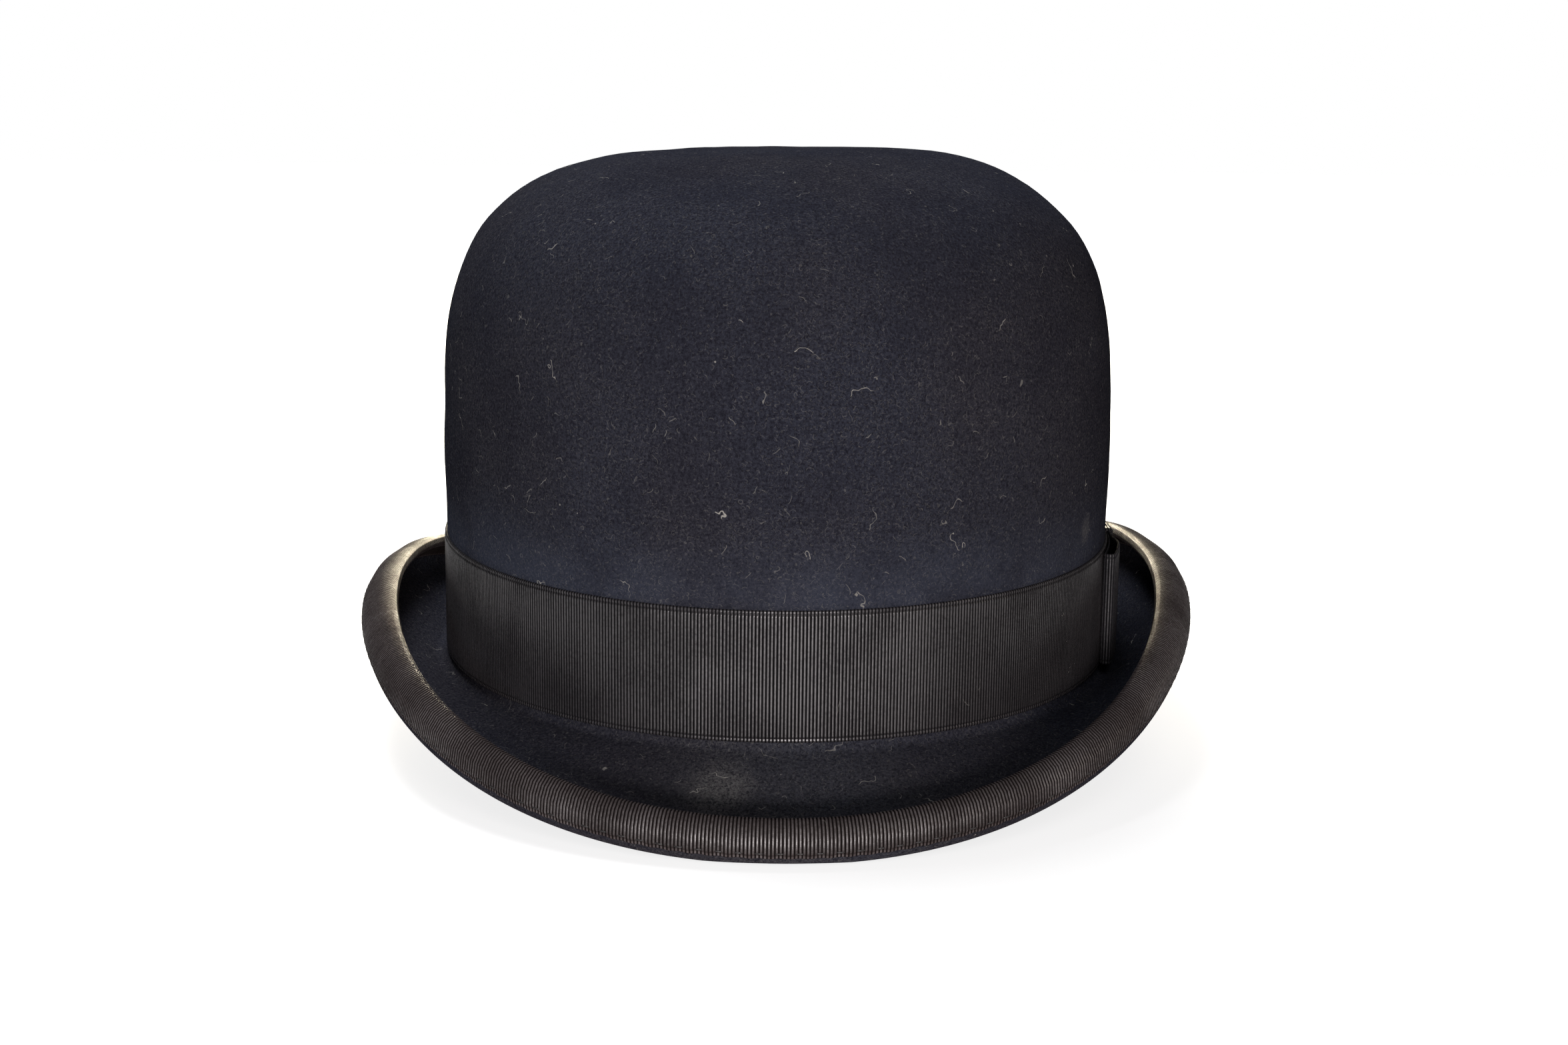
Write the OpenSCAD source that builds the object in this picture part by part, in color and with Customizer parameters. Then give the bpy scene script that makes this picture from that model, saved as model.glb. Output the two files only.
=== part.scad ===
// Bowler hat: one stiff felt body with a curled brim, a ribbon band with a flat bow at the wearer's
// left, a bound brim edge, a leather sweatband on a reed and a satin lining.
// z = 0 is the table that the brim stands on at front and back, -y is the front, +x the wearer's left.

/* [Crown] */
// Width of the felt crown, outside, at the ribbon
crown_w = 172; // [156:1:190]
// Length of the felt crown, outside, at the ribbon
crown_l = 203.5; // [186:0.5:226]
// Height of the crown above the lower edge of the ribbon
crown_h = 127; // [110:0.5:150]
// Height of the upright wall below the rounded shoulder
wall_h = 52; // [50:1:70]
// Squareness of the shoulder and flatness of the top, 2 being an ellipse
shoulder = 3.5; // [2:0.1:5]
// Thickness of the felt
felt_t = 2.2; // [1.6:0.1:2.8]

/* [Brim] */
// Reach of the felt beyond the crown at front and back
reach_front = 35.5; // [28:0.5:50]
// Reach of the felt beyond the crown at the sides
reach_side = 21; // [17:0.2:30]
// Drop of the underside below the ribbon at front and back
drop_front = 17.6; // [10:0.2:22]
// Rise of the underside above the lower edge of the ribbon at the wearer's left
rise_left = 8.8; // [0:0.1:11]
// Rise of the underside above the lower edge of the ribbon at the wearer's right
rise_right = 4.5; // [0:0.1:11]
// Outside radius of the curl at front and back
curl_r_front = 5.3; // [4.5:0.1:7]
// Outside radius of the curl at the sides
curl_r_side = 7; // [4.5:0.1:8.5]
// Angle at which the curl ends at front and back, counted up from level outwards
curl_end_front = 63; // [45:1:110]
// Angle at which the curl ends at the sides
curl_end_side = 96; // [60:1:130]
// How the brim passes from front to side, higher keeping front and back alike for longer
sweep = 2.15; // [1.5:0.05:3]
// How the raised side passes to the back at the wearer's left, higher staying raised for longer
hold_left = 3.4; // [2:0.1:6]
// How the raised side passes to the back at the wearer's right
hold_right = 2.4; // [2:0.1:6]
// Radius of the corner between crown and brim
break_r = 2.5; // [1.5:0.1:4]
// Depth cut flat where the brim stands on the table
rest_flat = 0.8; // [0.6:0.1:1.2]

/* [Band and bow] */
// Height of the ribbon band
band_h = 30.4; // [20:0.2:45]
// Thickness of the band and bow ribbon
ribbon_t = 0.6; // [0.4:0.1:1]
// Gap between the two ends of the band, under the bow
band_gap = 1; // [0.5:0.1:3]
// Overall length of the bow along the band
bow_l = 72; // [50:1:90]
// Height of the ribbon that the bow is folded from
bow_h = 28.6; // [18:0.2:44]
// Height that the bow's loops stand off the band
bow_puff = 3.2; // [2.4:0.1:5]
// Length of the knot along the band
knot_l = 14; // [10:0.5:20]
// Radius of the knot's folds
knot_r = 0.9; // [0.7:0.05:1.1]

/* [Brim binding] */
// Width of the binding on the outside of the curl at front and back
binding_front_w = 8.4; // [6:0.2:9.4]
// Width of the binding on the outside of the curl at the sides
binding_side_w = 11.2; // [6:0.2:14]
// Width of the binding on the inside of the curl
binding_in_w = 6.4; // [4:0.2:7]
// Thickness of the binding ribbon
binding_t = 0.5; // [0.3:0.05:0.7]

/* [Inside] */
// Height of the sweatband above the lower edge of the ribbon
sweat_h = 48; // [36:1:50]
// Length of the sweatband below the lower edge of the ribbon
sweat_drop = 0.6; // [0:0.1:1.5]
// Thickness of the sweatband's leather
sweat_t = 1.1; // [0.8:0.1:1.6]
// Gap between the two ends of the sweatband at the back
sweat_gap = 0.8; // [0.4:0.1:2]
// Diameter of the reed along the sweatband's lower edge
reed_d = 1.6; // [1.2:0.1:2.4]
// Width of the tape behind the sweatband's seam
tape_w = 16; // [10:1:24]
// Thickness of the tape
tape_t = 0.3; // [0.2:0.05:0.4]
// Overall length of the small bow on the sweatband
small_bow_l = 26; // [18:1:36]
// Height of the small bow's ribbon
small_bow_h = 6; // [4:0.5:9]
// Height that the small bow's loops stand off the sweatband
small_bow_puff = 2.4; // [1.8:0.1:3.5]
// Length of the small bow's knot
small_knot_l = 4; // [3:0.5:6]
// Height of the small bow above the lower edge of the ribbon
small_bow_z = 12; // [6:1:20]
// Thickness of the small bow's ribbon
small_ribbon_t = 0.4; // [0.3:0.05:0.5]
// Thickness of the lining
lining_t = 0.5; // [0.3:0.1:0.8]
// Length of the lining that is tucked behind the sweatband
lining_lap = 16; // [8:1:20]
// Angle up the shoulder at which the lining's top is sewn to its side
tip_seam = 52.5; // [37.5:7.5:67.5]

/* [Fits] */
// Clearance between pieces that lie against each other
seat = 0.06; // [0.04:0.01:0.1]

/* [Hidden] */
// Stations round the oval, and steps along each bend of the section
stations = 60;
dome_steps = 12;
break_steps = 3;
roll_steps = 3;
lap_steps = 4;
cap_steps = 4;
reed_sides = 6;
loop_steps = 12;
fold_steps = 8;
corner_steps = 4;

round_step = 360 / stations;
base_z = drop_front - rest_flat;
dome_h = crown_h - wall_h;
tip_ring = round(tip_seam / 90 * dome_steps);
band_face = seat + ribbon_t;
lining_depth = felt_t + seat;
tip_depth = lining_depth + lining_t + seat;
sweat_top_depth = tip_depth;
sweat_foot_depth = felt_t + reed_d + 2 * seat;
lining_foot = sweat_h - lining_lap;
tape_foot = reed_d + seat;
tape_head = lining_foot - seat;
small_pinch = 2 * small_ribbon_t + seat;
// How far the middle of a flat facet can lie inside the oval
facet_sag = crown_l / 2 * (1 - cos(round_step / 2));
loop_foot = (band_h - bow_h) / 2;
pinch = 2 * ribbon_t + seat;
knot_lift = pinch + 2 * seat;

// Places round the oval

// Point of the crown's oval, moved out along its normal
function oval(turn, out) =
    let (normal = [crown_l * cos(turn), crown_w * sin(turn)])
    [crown_w / 2 * cos(turn), crown_l / 2 * sin(turn)] + out * normal / norm(normal);

// Point of a section, given as distance out from the crown's wall and height
function place(turn, point) =
    let (plan = oval(turn, point[0]))
    [plan[0], plan[1], point[1]];

function place_all(turn, points) = [for (point = points) place(turn, point)];

// Turn that lies a length along the wall from the middle of a side or from the back
function side_turn(along) = along / (crown_l / 2) * 180 / PI;
function back_turn(along) = 90 + along / (crown_w / 2) * 180 / PI;

function round_turns() = [for (k = [0 : stations - 1]) k * round_step];

// Turns of a strip that starts and ends at one turn, with its two ends drawn apart by a half gap each
function strip_turns(start, half_gap) = concat(
    [start + half_gap],
    [for (k = [1 : stations - 1]) start + k * round_step],
    [start + 360 - half_gap]
);

function polar(centre, radius, angle) = centre + radius * [cos(angle), sin(angle)];
function steps(first, last, count) = [for (k = [0 : count]) first + (last - first) * k / count];
function reversed(list) = [for (k = [len(list) - 1 : -1 : 0]) list[k]];
function eased(share) = share * share * (3 - 2 * share);

// Crown: an upright wall, then a superellipse from the wall's top to the middle of the crown

function dome_angle(ring) = 90 * ring / dome_steps;

// Point of the dome, moved in along its normal by a depth
function dome_point(turn, ring, depth) =
    let (
        across = pow(cos(dome_angle(ring)), 2 / shoulder),
        up = pow(sin(dome_angle(ring)), 2 / shoulder),
        point = [crown_w / 2 * across * cos(turn), crown_l / 2 * across * sin(turn),
                 base_z + wall_h + dome_h * up],
        slope = [pow(across, shoulder - 1) * cos(turn) / (crown_w / 2),
                 pow(across, shoulder - 1) * sin(turn) / (crown_l / 2),
                 pow(up, shoulder - 1) / dome_h]
    )
    point - depth * slope / norm(slope);

function dome_points(turn, rings, depth) = [for (ring = rings) dome_point(turn, ring, depth)];
function crown_top(depth) = [0, 0, base_z + crown_h - depth];

// Brim: a corner arc, a straight flank and a curl, whose sizes change from front to side

function front_to_side(front, side, turn) = front + (side - front) * pow(abs(cos(turn)), sweep);
function curl_r(turn) = front_to_side(curl_r_front, curl_r_side, turn);
function curl_end(turn) = front_to_side(curl_end_front, curl_end_side, turn);

// Height of the underside over the ribbon's lower edge, which the back keeps for longer than the front
function side_rise(turn) = cos(turn) > 0 ? rise_left : rise_right;
function back_hold(turn) = cos(turn) > 0 ? hold_left : hold_right;
function rise_share(turn) =
    sin(turn) > 0 ? 1 - pow(sin(turn), back_hold(turn)) : pow(abs(cos(turn)), sweep);
function curl_rise(turn) = (side_rise(turn) + drop_front) * rise_share(turn) - drop_front;

function curl_centre(turn) = [
    front_to_side(reach_front, reach_side, turn) - curl_r(turn),
    base_z + curl_rise(turn) + curl_r(turn)
];

// Slope of the flank that touches both the corner arc and the curl
function flank(turn) =
    let (way = curl_centre(turn) - [break_r, base_z])
    atan2(way[1], way[0]) + asin((break_r + felt_t - curl_r(turn)) / norm(way));

// Angle on the curl that lies a width back from its end
function lap_angle(turn, width, radius) = curl_end(turn) - width / radius * 180 / PI;
function outer_lap(turn) =
    lap_angle(turn, front_to_side(binding_front_w, binding_side_w, turn), curl_r(turn));
function inner_lap(turn) = lap_angle(turn, binding_in_w, curl_r(turn) - felt_t);

function break_angles(turn) = steps(180, 270 + flank(turn), break_steps);
function lap_angles(turn, lap) = steps(lap, curl_end(turn), lap_steps);
function roll_angles(turn, lap) = concat(
    [for (k = [0 : roll_steps - 1]) flank(turn) - 90 + (lap - flank(turn) + 90) * k / roll_steps],
    lap_angles(turn, lap)
);

function arc(centre, radius, angles) = [for (angle = angles) polar(centre, radius, angle)];
function on_table(point) = [point[0], max(point[1], 0)];

// Section of the brim, out along its upper face and back along its underside
function brim_section(turn) =
    let (
        corner = [break_r, base_z],
        centre = curl_centre(turn),
        under = concat(
            reversed(arc(centre, curl_r(turn), roll_angles(turn, outer_lap(turn)))),
            reversed(arc(corner, break_r + felt_t, break_angles(turn)))
        )
    )
    concat(
        arc(corner, break_r, break_angles(turn)),
        arc(centre, curl_r(turn) - felt_t, roll_angles(turn, inner_lap(turn))),
        [for (point = under) on_table(point)]
    );

// Section of the folded binding, from the felt's edge down its outer face and back over the felt
function binding_section(turn) =
    let (
        centre = curl_centre(turn),
        radius = curl_r(turn),
        end = curl_end(turn),
        outer = lap_angles(turn, outer_lap(turn)),
        inner = lap_angles(turn, inner_lap(turn)),
        ahead = seat * [-sin(end), cos(end)],
        fold_centre = polar(centre, radius - felt_t / 2, end) + ahead,
        fold_r = felt_t / 2 + seat + binding_t,
        on_outer = arc(centre, radius + seat, outer),
        on_inner = arc(centre, radius - felt_t - seat, inner),
        last = lap_steps
    )
    concat(
        reversed(arc(centre, radius + seat + binding_t, outer)),
        [for (k = [0 : last]) on_outer[k] + (k == last ? ahead : [0, 0])],
        [for (k = [last : -1 : 0]) on_inner[k] + (k == last ? ahead : [0, 0])],
        arc(centre, radius - felt_t - seat - binding_t, inner),
        [for (k = [cap_steps - 1 : -1 : 1]) polar(fold_centre, fold_r, end + 180 * k / cap_steps)]
    );

// Solids from sections

// Two triangles of a four-sided patch, split along its shorter diagonal
function patch(points, a, b, c, d) =
    norm(points[a] - points[c]) <= norm(points[b] - points[d])
        ? [[a, b, c], [a, c, d]]
        : [[a, b, d], [b, c, d]];

// Patches between neighbouring sections, each of count points, closed across the section or left open
function skin(points, count, pairs, closed) = [
    for (pair = pairs, k = [0 : count - (closed ? 1 : 2)])
        let (next = (k + 1) % count)
        each patch(points, pair[0] * count + k, pair[1] * count + k,
                   pair[1] * count + next, pair[0] * count + next)
];

function ring_pairs(count) = [for (k = [0 : count - 1]) [k, (k + 1) % count]];
function row_pairs(count) = [for (k = [0 : count - 2]) [k, k + 1]];

// Closed section carried once round the hat
module ring(sections) {
    count = len(sections[0]);
    points = [for (section = sections) each section];
    polyhedron(points, skin(points, count, ring_pairs(len(sections)), true));
}

// Closed section carried along a strip with two flat ends
module strip(sections) {
    count = len(sections[0]);
    points = [for (section = sections) each section];
    last = len(points) - count;
    ends = [
        [for (k = [0 : count - 1]) k],
        [for (k = [count - 1 : -1 : 0]) last + k]
    ];
    polyhedron(points, concat(skin(points, count, row_pairs(len(sections)), true), ends));
}

// Open section carried round the hat, closed by a point in the middle at each end
module shell(sections, first_tip, last_tip) {
    count = len(sections[0]);
    points = concat([for (section = sections) each section], [first_tip, last_tip]);
    first = len(points) - 2;
    pairs = ring_pairs(len(sections));
    fans = [
        for (pair = pairs)
            each [
                [first, pair[1] * count, pair[0] * count],
                [first + 1, pair[0] * count + count - 1, pair[1] * count + count - 1]
            ]
    ];
    polyhedron(points, concat(skin(points, count, pairs, false), fans));
}

// Section of a strip that lies between two depths behind the crown's outer face
function upright(foot_depth, head_depth, thickness, foot, head) = [
    [-head_depth, base_z + head],
    [-foot_depth, base_z + foot],
    [-foot_depth - thickness, base_z + foot],
    [-head_depth - thickness, base_z + head]
];

// Depth of the sweatband's outer face at a height, as it leans out from the reed to the lining
function sweat_depth(height) =
    sweat_foot_depth + (sweat_top_depth - sweat_foot_depth) * (height + sweat_drop) / (sweat_h + sweat_drop);

// Flat loop of ribbon seen from above: flat on what carries it, a round fold at its end, then a front
// that comes down to the knot

function loop_height(along, rise, fold, puff, low) =
    low + (puff - low) * eased(min(max((along - rise) / (fold - rise) * 2, 0), 1));

function loop_outline(start, end, puff, low, rise, wall) =
    let (fold = end - puff / 2, rows = steps(start, fold, loop_steps))
    concat(
        [for (along = rows) [along, wall]],
        [for (k = [1 : fold_steps - 1])
            polar([fold, puff / 2], puff / 2 - wall, -90 + 180 * k / fold_steps)],
        [for (along = reversed(rows)) [along, loop_height(along, rise, fold, puff, low) - wall]]
    );

// Loop of the bow on the band, towards the back with side 1 and towards the front with side -1
module bow_loop(side) {
    outer = loop_outline(seat, bow_l / 2, bow_puff, pinch, knot_l / 2, 0);
    inner = loop_outline(knot_l / 2, bow_l / 2, bow_puff, pinch, knot_l / 2, ribbon_t);
    translate([0, 0, base_z + loop_foot])
        linear_extrude(bow_h)
            difference() {
                polygon([for (p = outer) oval(side * side_turn(p[0]), band_face + seat + p[1])]);
                polygon([for (p = inner) oval(side * side_turn(p[0]), band_face + seat + p[1])]);
            }
}

// Rectangle with two rounded corners on its far side, from the wall out
function strap_outline(depth, low, high, radius) = concat(
    [[0, low]],
    [for (k = [0 : corner_steps]) polar([depth - radius, low + radius], radius, -90 + 90 * k / corner_steps)],
    [for (k = [0 : corner_steps]) polar([depth - radius, high - radius], radius, 90 * k / corner_steps)],
    [[0, high]]
);

// Sub-parts

module felt_body() {
    outer_rings = [for (ring = [dome_steps - 1 : -1 : 0]) ring];
    inner_rings = [for (ring = [0 : dome_steps - 1]) ring];
    color("#23232f")
        shell(
            [for (turn = round_turns()) concat(
                dome_points(turn, outer_rings, 0),
                place_all(turn, brim_section(turn)),
                dome_points(turn, inner_rings, felt_t)
            )],
            crown_top(0),
            crown_top(felt_t)
        );
}

module hat_band() {
    color("#1c1d20")
        strip([for (turn = strip_turns(0, side_turn(band_gap / 2)))
            place_all(turn, upright(-band_face, -band_face, ribbon_t, 0, band_h))]);
}

module bow_front_loop() {
    color("#202124") bow_loop(-1);
}

module bow_rear_loop() {
    color("#202124") bow_loop(1);
}

module bow_knot() {
    lift = knot_lift + ribbon_t;
    low = loop_foot - seat;
    high = loop_foot + bow_h + seat;
    color("#26272b")
        translate([crown_w / 2 + band_face + seat, 0, base_z])
            rotate([90, 0, 0])
                linear_extrude(knot_l, center = true)
                    difference() {
                        polygon(strap_outline(lift, low - ribbon_t, high + ribbon_t, knot_r));
                        translate([-seat, low])
                            square([knot_lift + seat, high - low]);
                    }
}

module brim_binding() {
    color("#1a1b1e")
        ring([for (turn = round_turns()) place_all(turn, binding_section(turn))]);
}

module sweatband() {
    section = upright(sweat_foot_depth, sweat_top_depth, sweat_t, -sweat_drop, sweat_h);
    color("#4a2f20")
        strip([for (turn = strip_turns(90, back_turn(sweat_gap / 2) - 90)) place_all(turn, section)]);
}

module sweatband_reed() {
    centre = [-felt_t - seat - reed_d / 2, base_z + reed_d / 2];
    sides = [for (k = [0 : reed_sides - 1]) 360 * k / reed_sides];
    color("#b9a88a")
        ring([for (turn = round_turns()) place_all(turn, reversed(arc(centre, reed_d / 2, sides)))]);
}

module sweatband_seam_tape() {
    reach = back_turn(tape_w / 2) - 90;
    near = [for (turn = [90 - round_step, 90, 90 + round_step]) if (abs(turn - 90) < reach) turn];
    depth = -seat - tape_t;
    section = upright(sweat_depth(tape_foot) + depth, sweat_depth(tape_head) + depth, tape_t,
                      tape_foot, tape_head);
    color("#15151a")
        strip([for (turn = concat([90 - reach], near, [90 + reach])) place_all(turn, section)]);
}

module sweatband_bow() {
    depth = sweat_depth(small_bow_z) + sweat_t + facet_sag + seat;
    rise = small_knot_l / 2;
    outer = loop_outline(0, small_bow_l / 2, small_bow_puff, small_pinch, rise, 0);
    inner = loop_outline(rise, small_bow_l / 2, small_bow_puff, small_pinch, rise, small_ribbon_t);
    knot = concat(
        [for (along = [-rise, 0, rise]) [along, 0]],
        [for (along = [rise, 0, -rise]) [along, small_pinch + small_ribbon_t]]
    );
    color("#15151a")
        translate([0, 0, base_z + small_bow_z]) {
            for (side = [-1, 1])
                linear_extrude(small_bow_h)
                    difference() {
                        polygon([for (p = outer) oval(back_turn(side * p[0]), -depth - p[1])]);
                        polygon([for (p = inner) oval(back_turn(side * p[0]), -depth - p[1])]);
                    }
            translate([0, 0, -small_ribbon_t])
                linear_extrude(small_bow_h + 2 * small_ribbon_t)
                    polygon([for (p = knot) oval(back_turn(p[0]), -depth - p[1])]);
        }
}

module lining_side() {
    rings = [for (ring = [0 : tip_ring + 1]) ring];
    color("#101014")
        ring([for (turn = round_turns()) concat(
            dome_points(turn, reversed(rings), lining_depth),
            [place(turn, [-lining_depth, base_z + lining_foot])],
            [place(turn, [-lining_depth - lining_t, base_z + lining_foot])],
            dome_points(turn, rings, lining_depth + lining_t)
        )]);
}

module lining_tip() {
    rings = [for (ring = [tip_ring : dome_steps - 1]) ring];
    color("#131318")
        shell(
            [for (turn = round_turns()) concat(
                dome_points(turn, reversed(rings), tip_depth),
                dome_points(turn, rings, tip_depth + lining_t)
            )],
            crown_top(tip_depth),
            crown_top(tip_depth + lining_t)
        );
}

felt_body();
hat_band();
bow_front_loop();
bow_rear_loop();
bow_knot();
brim_binding();
sweatband();
sweatband_reed();
sweatband_seam_tape();
sweatband_bow();
lining_side();
lining_tip();
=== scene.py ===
import math
import random

import bpy
from mathutils import Matrix, Vector, noise


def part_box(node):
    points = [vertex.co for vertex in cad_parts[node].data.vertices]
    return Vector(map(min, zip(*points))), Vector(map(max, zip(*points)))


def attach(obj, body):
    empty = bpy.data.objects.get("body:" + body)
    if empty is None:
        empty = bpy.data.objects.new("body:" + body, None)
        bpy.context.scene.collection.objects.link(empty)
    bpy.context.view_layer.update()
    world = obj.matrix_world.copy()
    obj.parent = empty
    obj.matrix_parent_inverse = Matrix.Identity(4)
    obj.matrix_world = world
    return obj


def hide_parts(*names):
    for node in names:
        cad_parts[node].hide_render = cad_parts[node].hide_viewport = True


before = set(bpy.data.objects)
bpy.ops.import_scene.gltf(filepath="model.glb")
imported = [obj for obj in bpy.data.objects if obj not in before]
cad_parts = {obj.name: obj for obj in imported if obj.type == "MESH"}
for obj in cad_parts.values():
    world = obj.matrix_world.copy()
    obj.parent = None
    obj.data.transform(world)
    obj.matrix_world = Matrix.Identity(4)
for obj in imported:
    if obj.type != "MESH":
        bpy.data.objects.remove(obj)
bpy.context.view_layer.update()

print("frame:", len(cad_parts), "nodes")

mm = 0.001
pi = math.pi
seat = 0.06 * mm  # clearance between pieces that lie against each other

# shapes that several pieces share

bandLow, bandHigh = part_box("hat_band")
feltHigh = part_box("felt_body")[1]
bandThick = 0.6 * mm
bandFace = seat + bandThick
backTurn = pi / 2

crown = {
    "base": bandLow.z,  # lower edge of the ribbon
    "width": -2 * (bandLow.x + bandFace),
    "length": 2 * (bandHigh.y - bandFace),
    "height": feltHigh.z - bandLow.z,
    "wall": 52 * mm,
    "shoulder": 3.5,
    "thick": 2.2 * mm,
}

brim = {
    "reachFront": feltHigh.y - crown["length"] / 2,
    "reachSide": feltHigh.x - crown["width"] / 2,
    "dropFront": crown["base"] + 0.8 * mm,  # the last 0.8 mm is pressed flat on the table
    "riseLeft": 8.8 * mm,  # of the wearer's left side, over the ribbon's lower edge
    "riseRight": 4.5 * mm,
    "curlFront": 5.3 * mm,
    "curlSide": 7 * mm,
    "endFront": math.radians(63),
    "endSide": math.radians(96),
    "sweep": 2.15,
    "holdLeft": 3.4,  # how long a raised side keeps its height towards the back
    "holdRight": 2.4,
    "corner": 2.5 * mm,
}


def spread(first, last, count):
    return [first + (last - first) * k / count for k in range(count + 1)]


def eased(share):
    share = min(max(share, 0), 1)
    return share * share * (3 - 2 * share)


def polar(centre, radius, angle):
    return (centre[0] + radius * math.cos(angle), centre[1] + radius * math.sin(angle))


def ovalPoint(turn, out, z):  # turn 0 is the wearer's left, a quarter turn is the back
    normal = Vector((crown["length"] * math.cos(turn), crown["width"] * math.sin(turn), 0))
    foot = Vector((crown["width"] / 2 * math.cos(turn), crown["length"] / 2 * math.sin(turn), z))
    return foot + normal.normalized() * out


def domePoint(turn, rise, depth=0):  # rise runs from 0 at the wall to a right angle at the top
    shoulder = crown["shoulder"]
    half = (crown["width"] / 2, crown["length"] / 2, crown["height"] - crown["wall"])
    across = max(math.cos(rise), 0) ** (2 / shoulder)
    up = math.sin(rise) ** (2 / shoulder)
    plan = (math.cos(turn), math.sin(turn))
    foot = crown["base"] + crown["wall"]
    point = Vector((half[0] * across * plan[0], half[1] * across * plan[1], foot + half[2] * up))
    lean = across ** (shoulder - 1)
    normal = Vector((lean * plan[0] / half[0], lean * plan[1] / half[1], up ** (shoulder - 1) / half[2]))
    return point - normal.normalized() * depth


def frontToSide(front, side, turn):
    return front + (side - front) * abs(math.cos(turn)) ** brim["sweep"]


def brimRise(turn):
    onLeft, behind = math.cos(turn) > 0, math.sin(turn)
    rise = brim["riseLeft"] if onLeft else brim["riseRight"]
    hold = brim["holdLeft"] if onLeft else brim["holdRight"]
    share = 1 - behind ** hold if behind > 0 else abs(math.cos(turn)) ** brim["sweep"]
    return (rise + brim["dropFront"]) * share - brim["dropFront"]


def brimCurl(turn):  # middle of the curl, its radius, where it ends and the slope that leads to it
    radius = frontToSide(brim["curlFront"], brim["curlSide"], turn)
    end = frontToSide(brim["endFront"], brim["endSide"], turn)
    out = frontToSide(brim["reachFront"], brim["reachSide"], turn) - radius
    z = crown["base"] + brimRise(turn) + radius
    way = (out - brim["corner"], z - crown["base"])
    lean = math.asin((brim["corner"] + crown["thick"] - radius) / math.hypot(*way))
    return (out, z), radius, end, math.atan2(way[1], way[0]) + lean


def lengthsAlong(points, apart=lambda a, b: (b - a).length):  # how far along a path each point lies
    lengths = [0]
    for a, b in zip(points, points[1:]):
        lengths.append(lengths[-1] + apart(a, b))
    return lengths


def evenSpots(lengths, count):  # equal steps along a path: the stretch each falls in, and the share of it
    k = 0
    for wanted in spread(0, lengths[-1], count):
        while k < len(lengths) - 2 and lengths[k + 1] < wanted:
            k += 1
        yield k, (wanted - lengths[k]) / (lengths[k + 1] - lengths[k])


def evenTurns(pathPoint, count, first=0, last=2 * pi, samples=1440):  # turns at equal lengths along a path
    turns = spread(first, last, samples)
    lengths = lengthsAlong([pathPoint(turn) for turn in turns])
    found = [turns[k] + (turns[k + 1] - turns[k]) * share for k, share in evenSpots(lengths, count)]
    return found, lengths[-1]


def pathLength(pathPoint, first=0, last=2 * pi):
    return evenTurns(pathPoint, 1, first, last)[1]


# modelling helpers


def selectOnly(piece):
    bpy.ops.object.select_all(action="DESELECT")
    piece.select_set(True)
    bpy.context.view_layer.objects.active = piece


def gridPiece(name, sections, around=1, across=None):  # a flat grid carried to the points of its sections
    columns, rows = len(sections) - 1, len(sections[0]) - 1
    bpy.ops.object.select_all(action="DESELECT")
    bpy.ops.mesh.primitive_grid_add(x_subdivisions=columns, y_subdivisions=rows, size=1)
    piece = bpy.context.active_object
    piece.name = piece.data.name = name
    for k, vertex in enumerate(piece.data.vertices):
        vertex.co = sections[k % (columns + 1)][k // (columns + 1)]
    across = across or spread(0, 1, rows)
    layer = piece.data.uv_layers.active.data
    for loop in piece.data.loops:
        column, row = loop.vertex_index % (columns + 1), loop.vertex_index // (columns + 1)
        layer[loop.index].uv = (column / columns * around, across[row])
    bpy.ops.object.mode_set(mode="EDIT")
    bpy.ops.mesh.select_all(action="SELECT")
    bpy.ops.mesh.remove_doubles(threshold=0.002 * mm)
    bpy.ops.object.mode_set(mode="OBJECT")
    return piece


def chartFromAbove(piece):  # cloth that was cut flat keeps a straight weave
    layer = piece.data.uv_layers.active.data
    for loop in piece.data.loops:
        spot = piece.data.vertices[loop.vertex_index].co
        layer[loop.index].uv = (spot.x / mm, spot.y / mm)


def closeEnds(piece):  # caps the open ends of a strip
    selectOnly(piece)
    bpy.ops.object.mode_set(mode="EDIT")
    bpy.ops.mesh.select_mode(type="EDGE")
    bpy.ops.mesh.select_all(action="DESELECT")
    bpy.ops.mesh.select_non_manifold(
        extend=False, use_wire=False, use_multi_face=False, use_non_contiguous=False
    )
    bpy.ops.mesh.fill_holes(sides=0)
    bpy.ops.object.mode_set(mode="OBJECT")


def thicken(piece, thick):  # the wall grows behind the faces
    selectOnly(piece)
    wall = piece.modifiers.new("wall", "SOLIDIFY")
    wall.thickness, wall.offset, wall.use_even_offset = thick, -1, True
    bpy.ops.object.modifier_apply(modifier=wall.name)


def joinPieces(name, pieces):
    selectOnly(pieces[0])
    for piece in pieces:
        piece.select_set(True)
    bpy.ops.object.join()
    joined = bpy.context.active_object
    joined.name = joined.data.name = name
    return joined


def copyAlong(name, pattern, places):  # one modelled shape, copied with its own mesh to every place
    copies = []
    for place in places:
        copy = pattern.copy()
        copy.data = pattern.data.copy()
        copy.data.transform(place)
        bpy.context.collection.objects.link(copy)
        copies.append(copy)
    bpy.data.objects.remove(pattern)
    return joinPieces(name, copies)


def finishPiece(piece, material, nodes=(), crease=50):
    selectOnly(piece)
    bpy.ops.object.shade_smooth_by_angle(angle=math.radians(crease))
    piece.data.materials.clear()
    piece.data.materials.append(material)
    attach(piece, "root")
    if nodes:
        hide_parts(*nodes)
    print("piece:", piece.name, len(piece.data.polygons), "faces")


# shader helpers


def connect(tree, value, socket):  # a value is a number, a colour or another node's output
    if isinstance(value, bpy.types.NodeSocket):
        tree.links.new(value, socket)
    else:
        socket.default_value = value


def addNode(tree, kind, inputs=None, **settings):
    made = tree.nodes.new("ShaderNode" + kind)
    for key, value in settings.items():
        setattr(made, key, value)
    for key, value in (inputs or {}).items():
        connect(tree, value, made.inputs[key])
    return made


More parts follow.
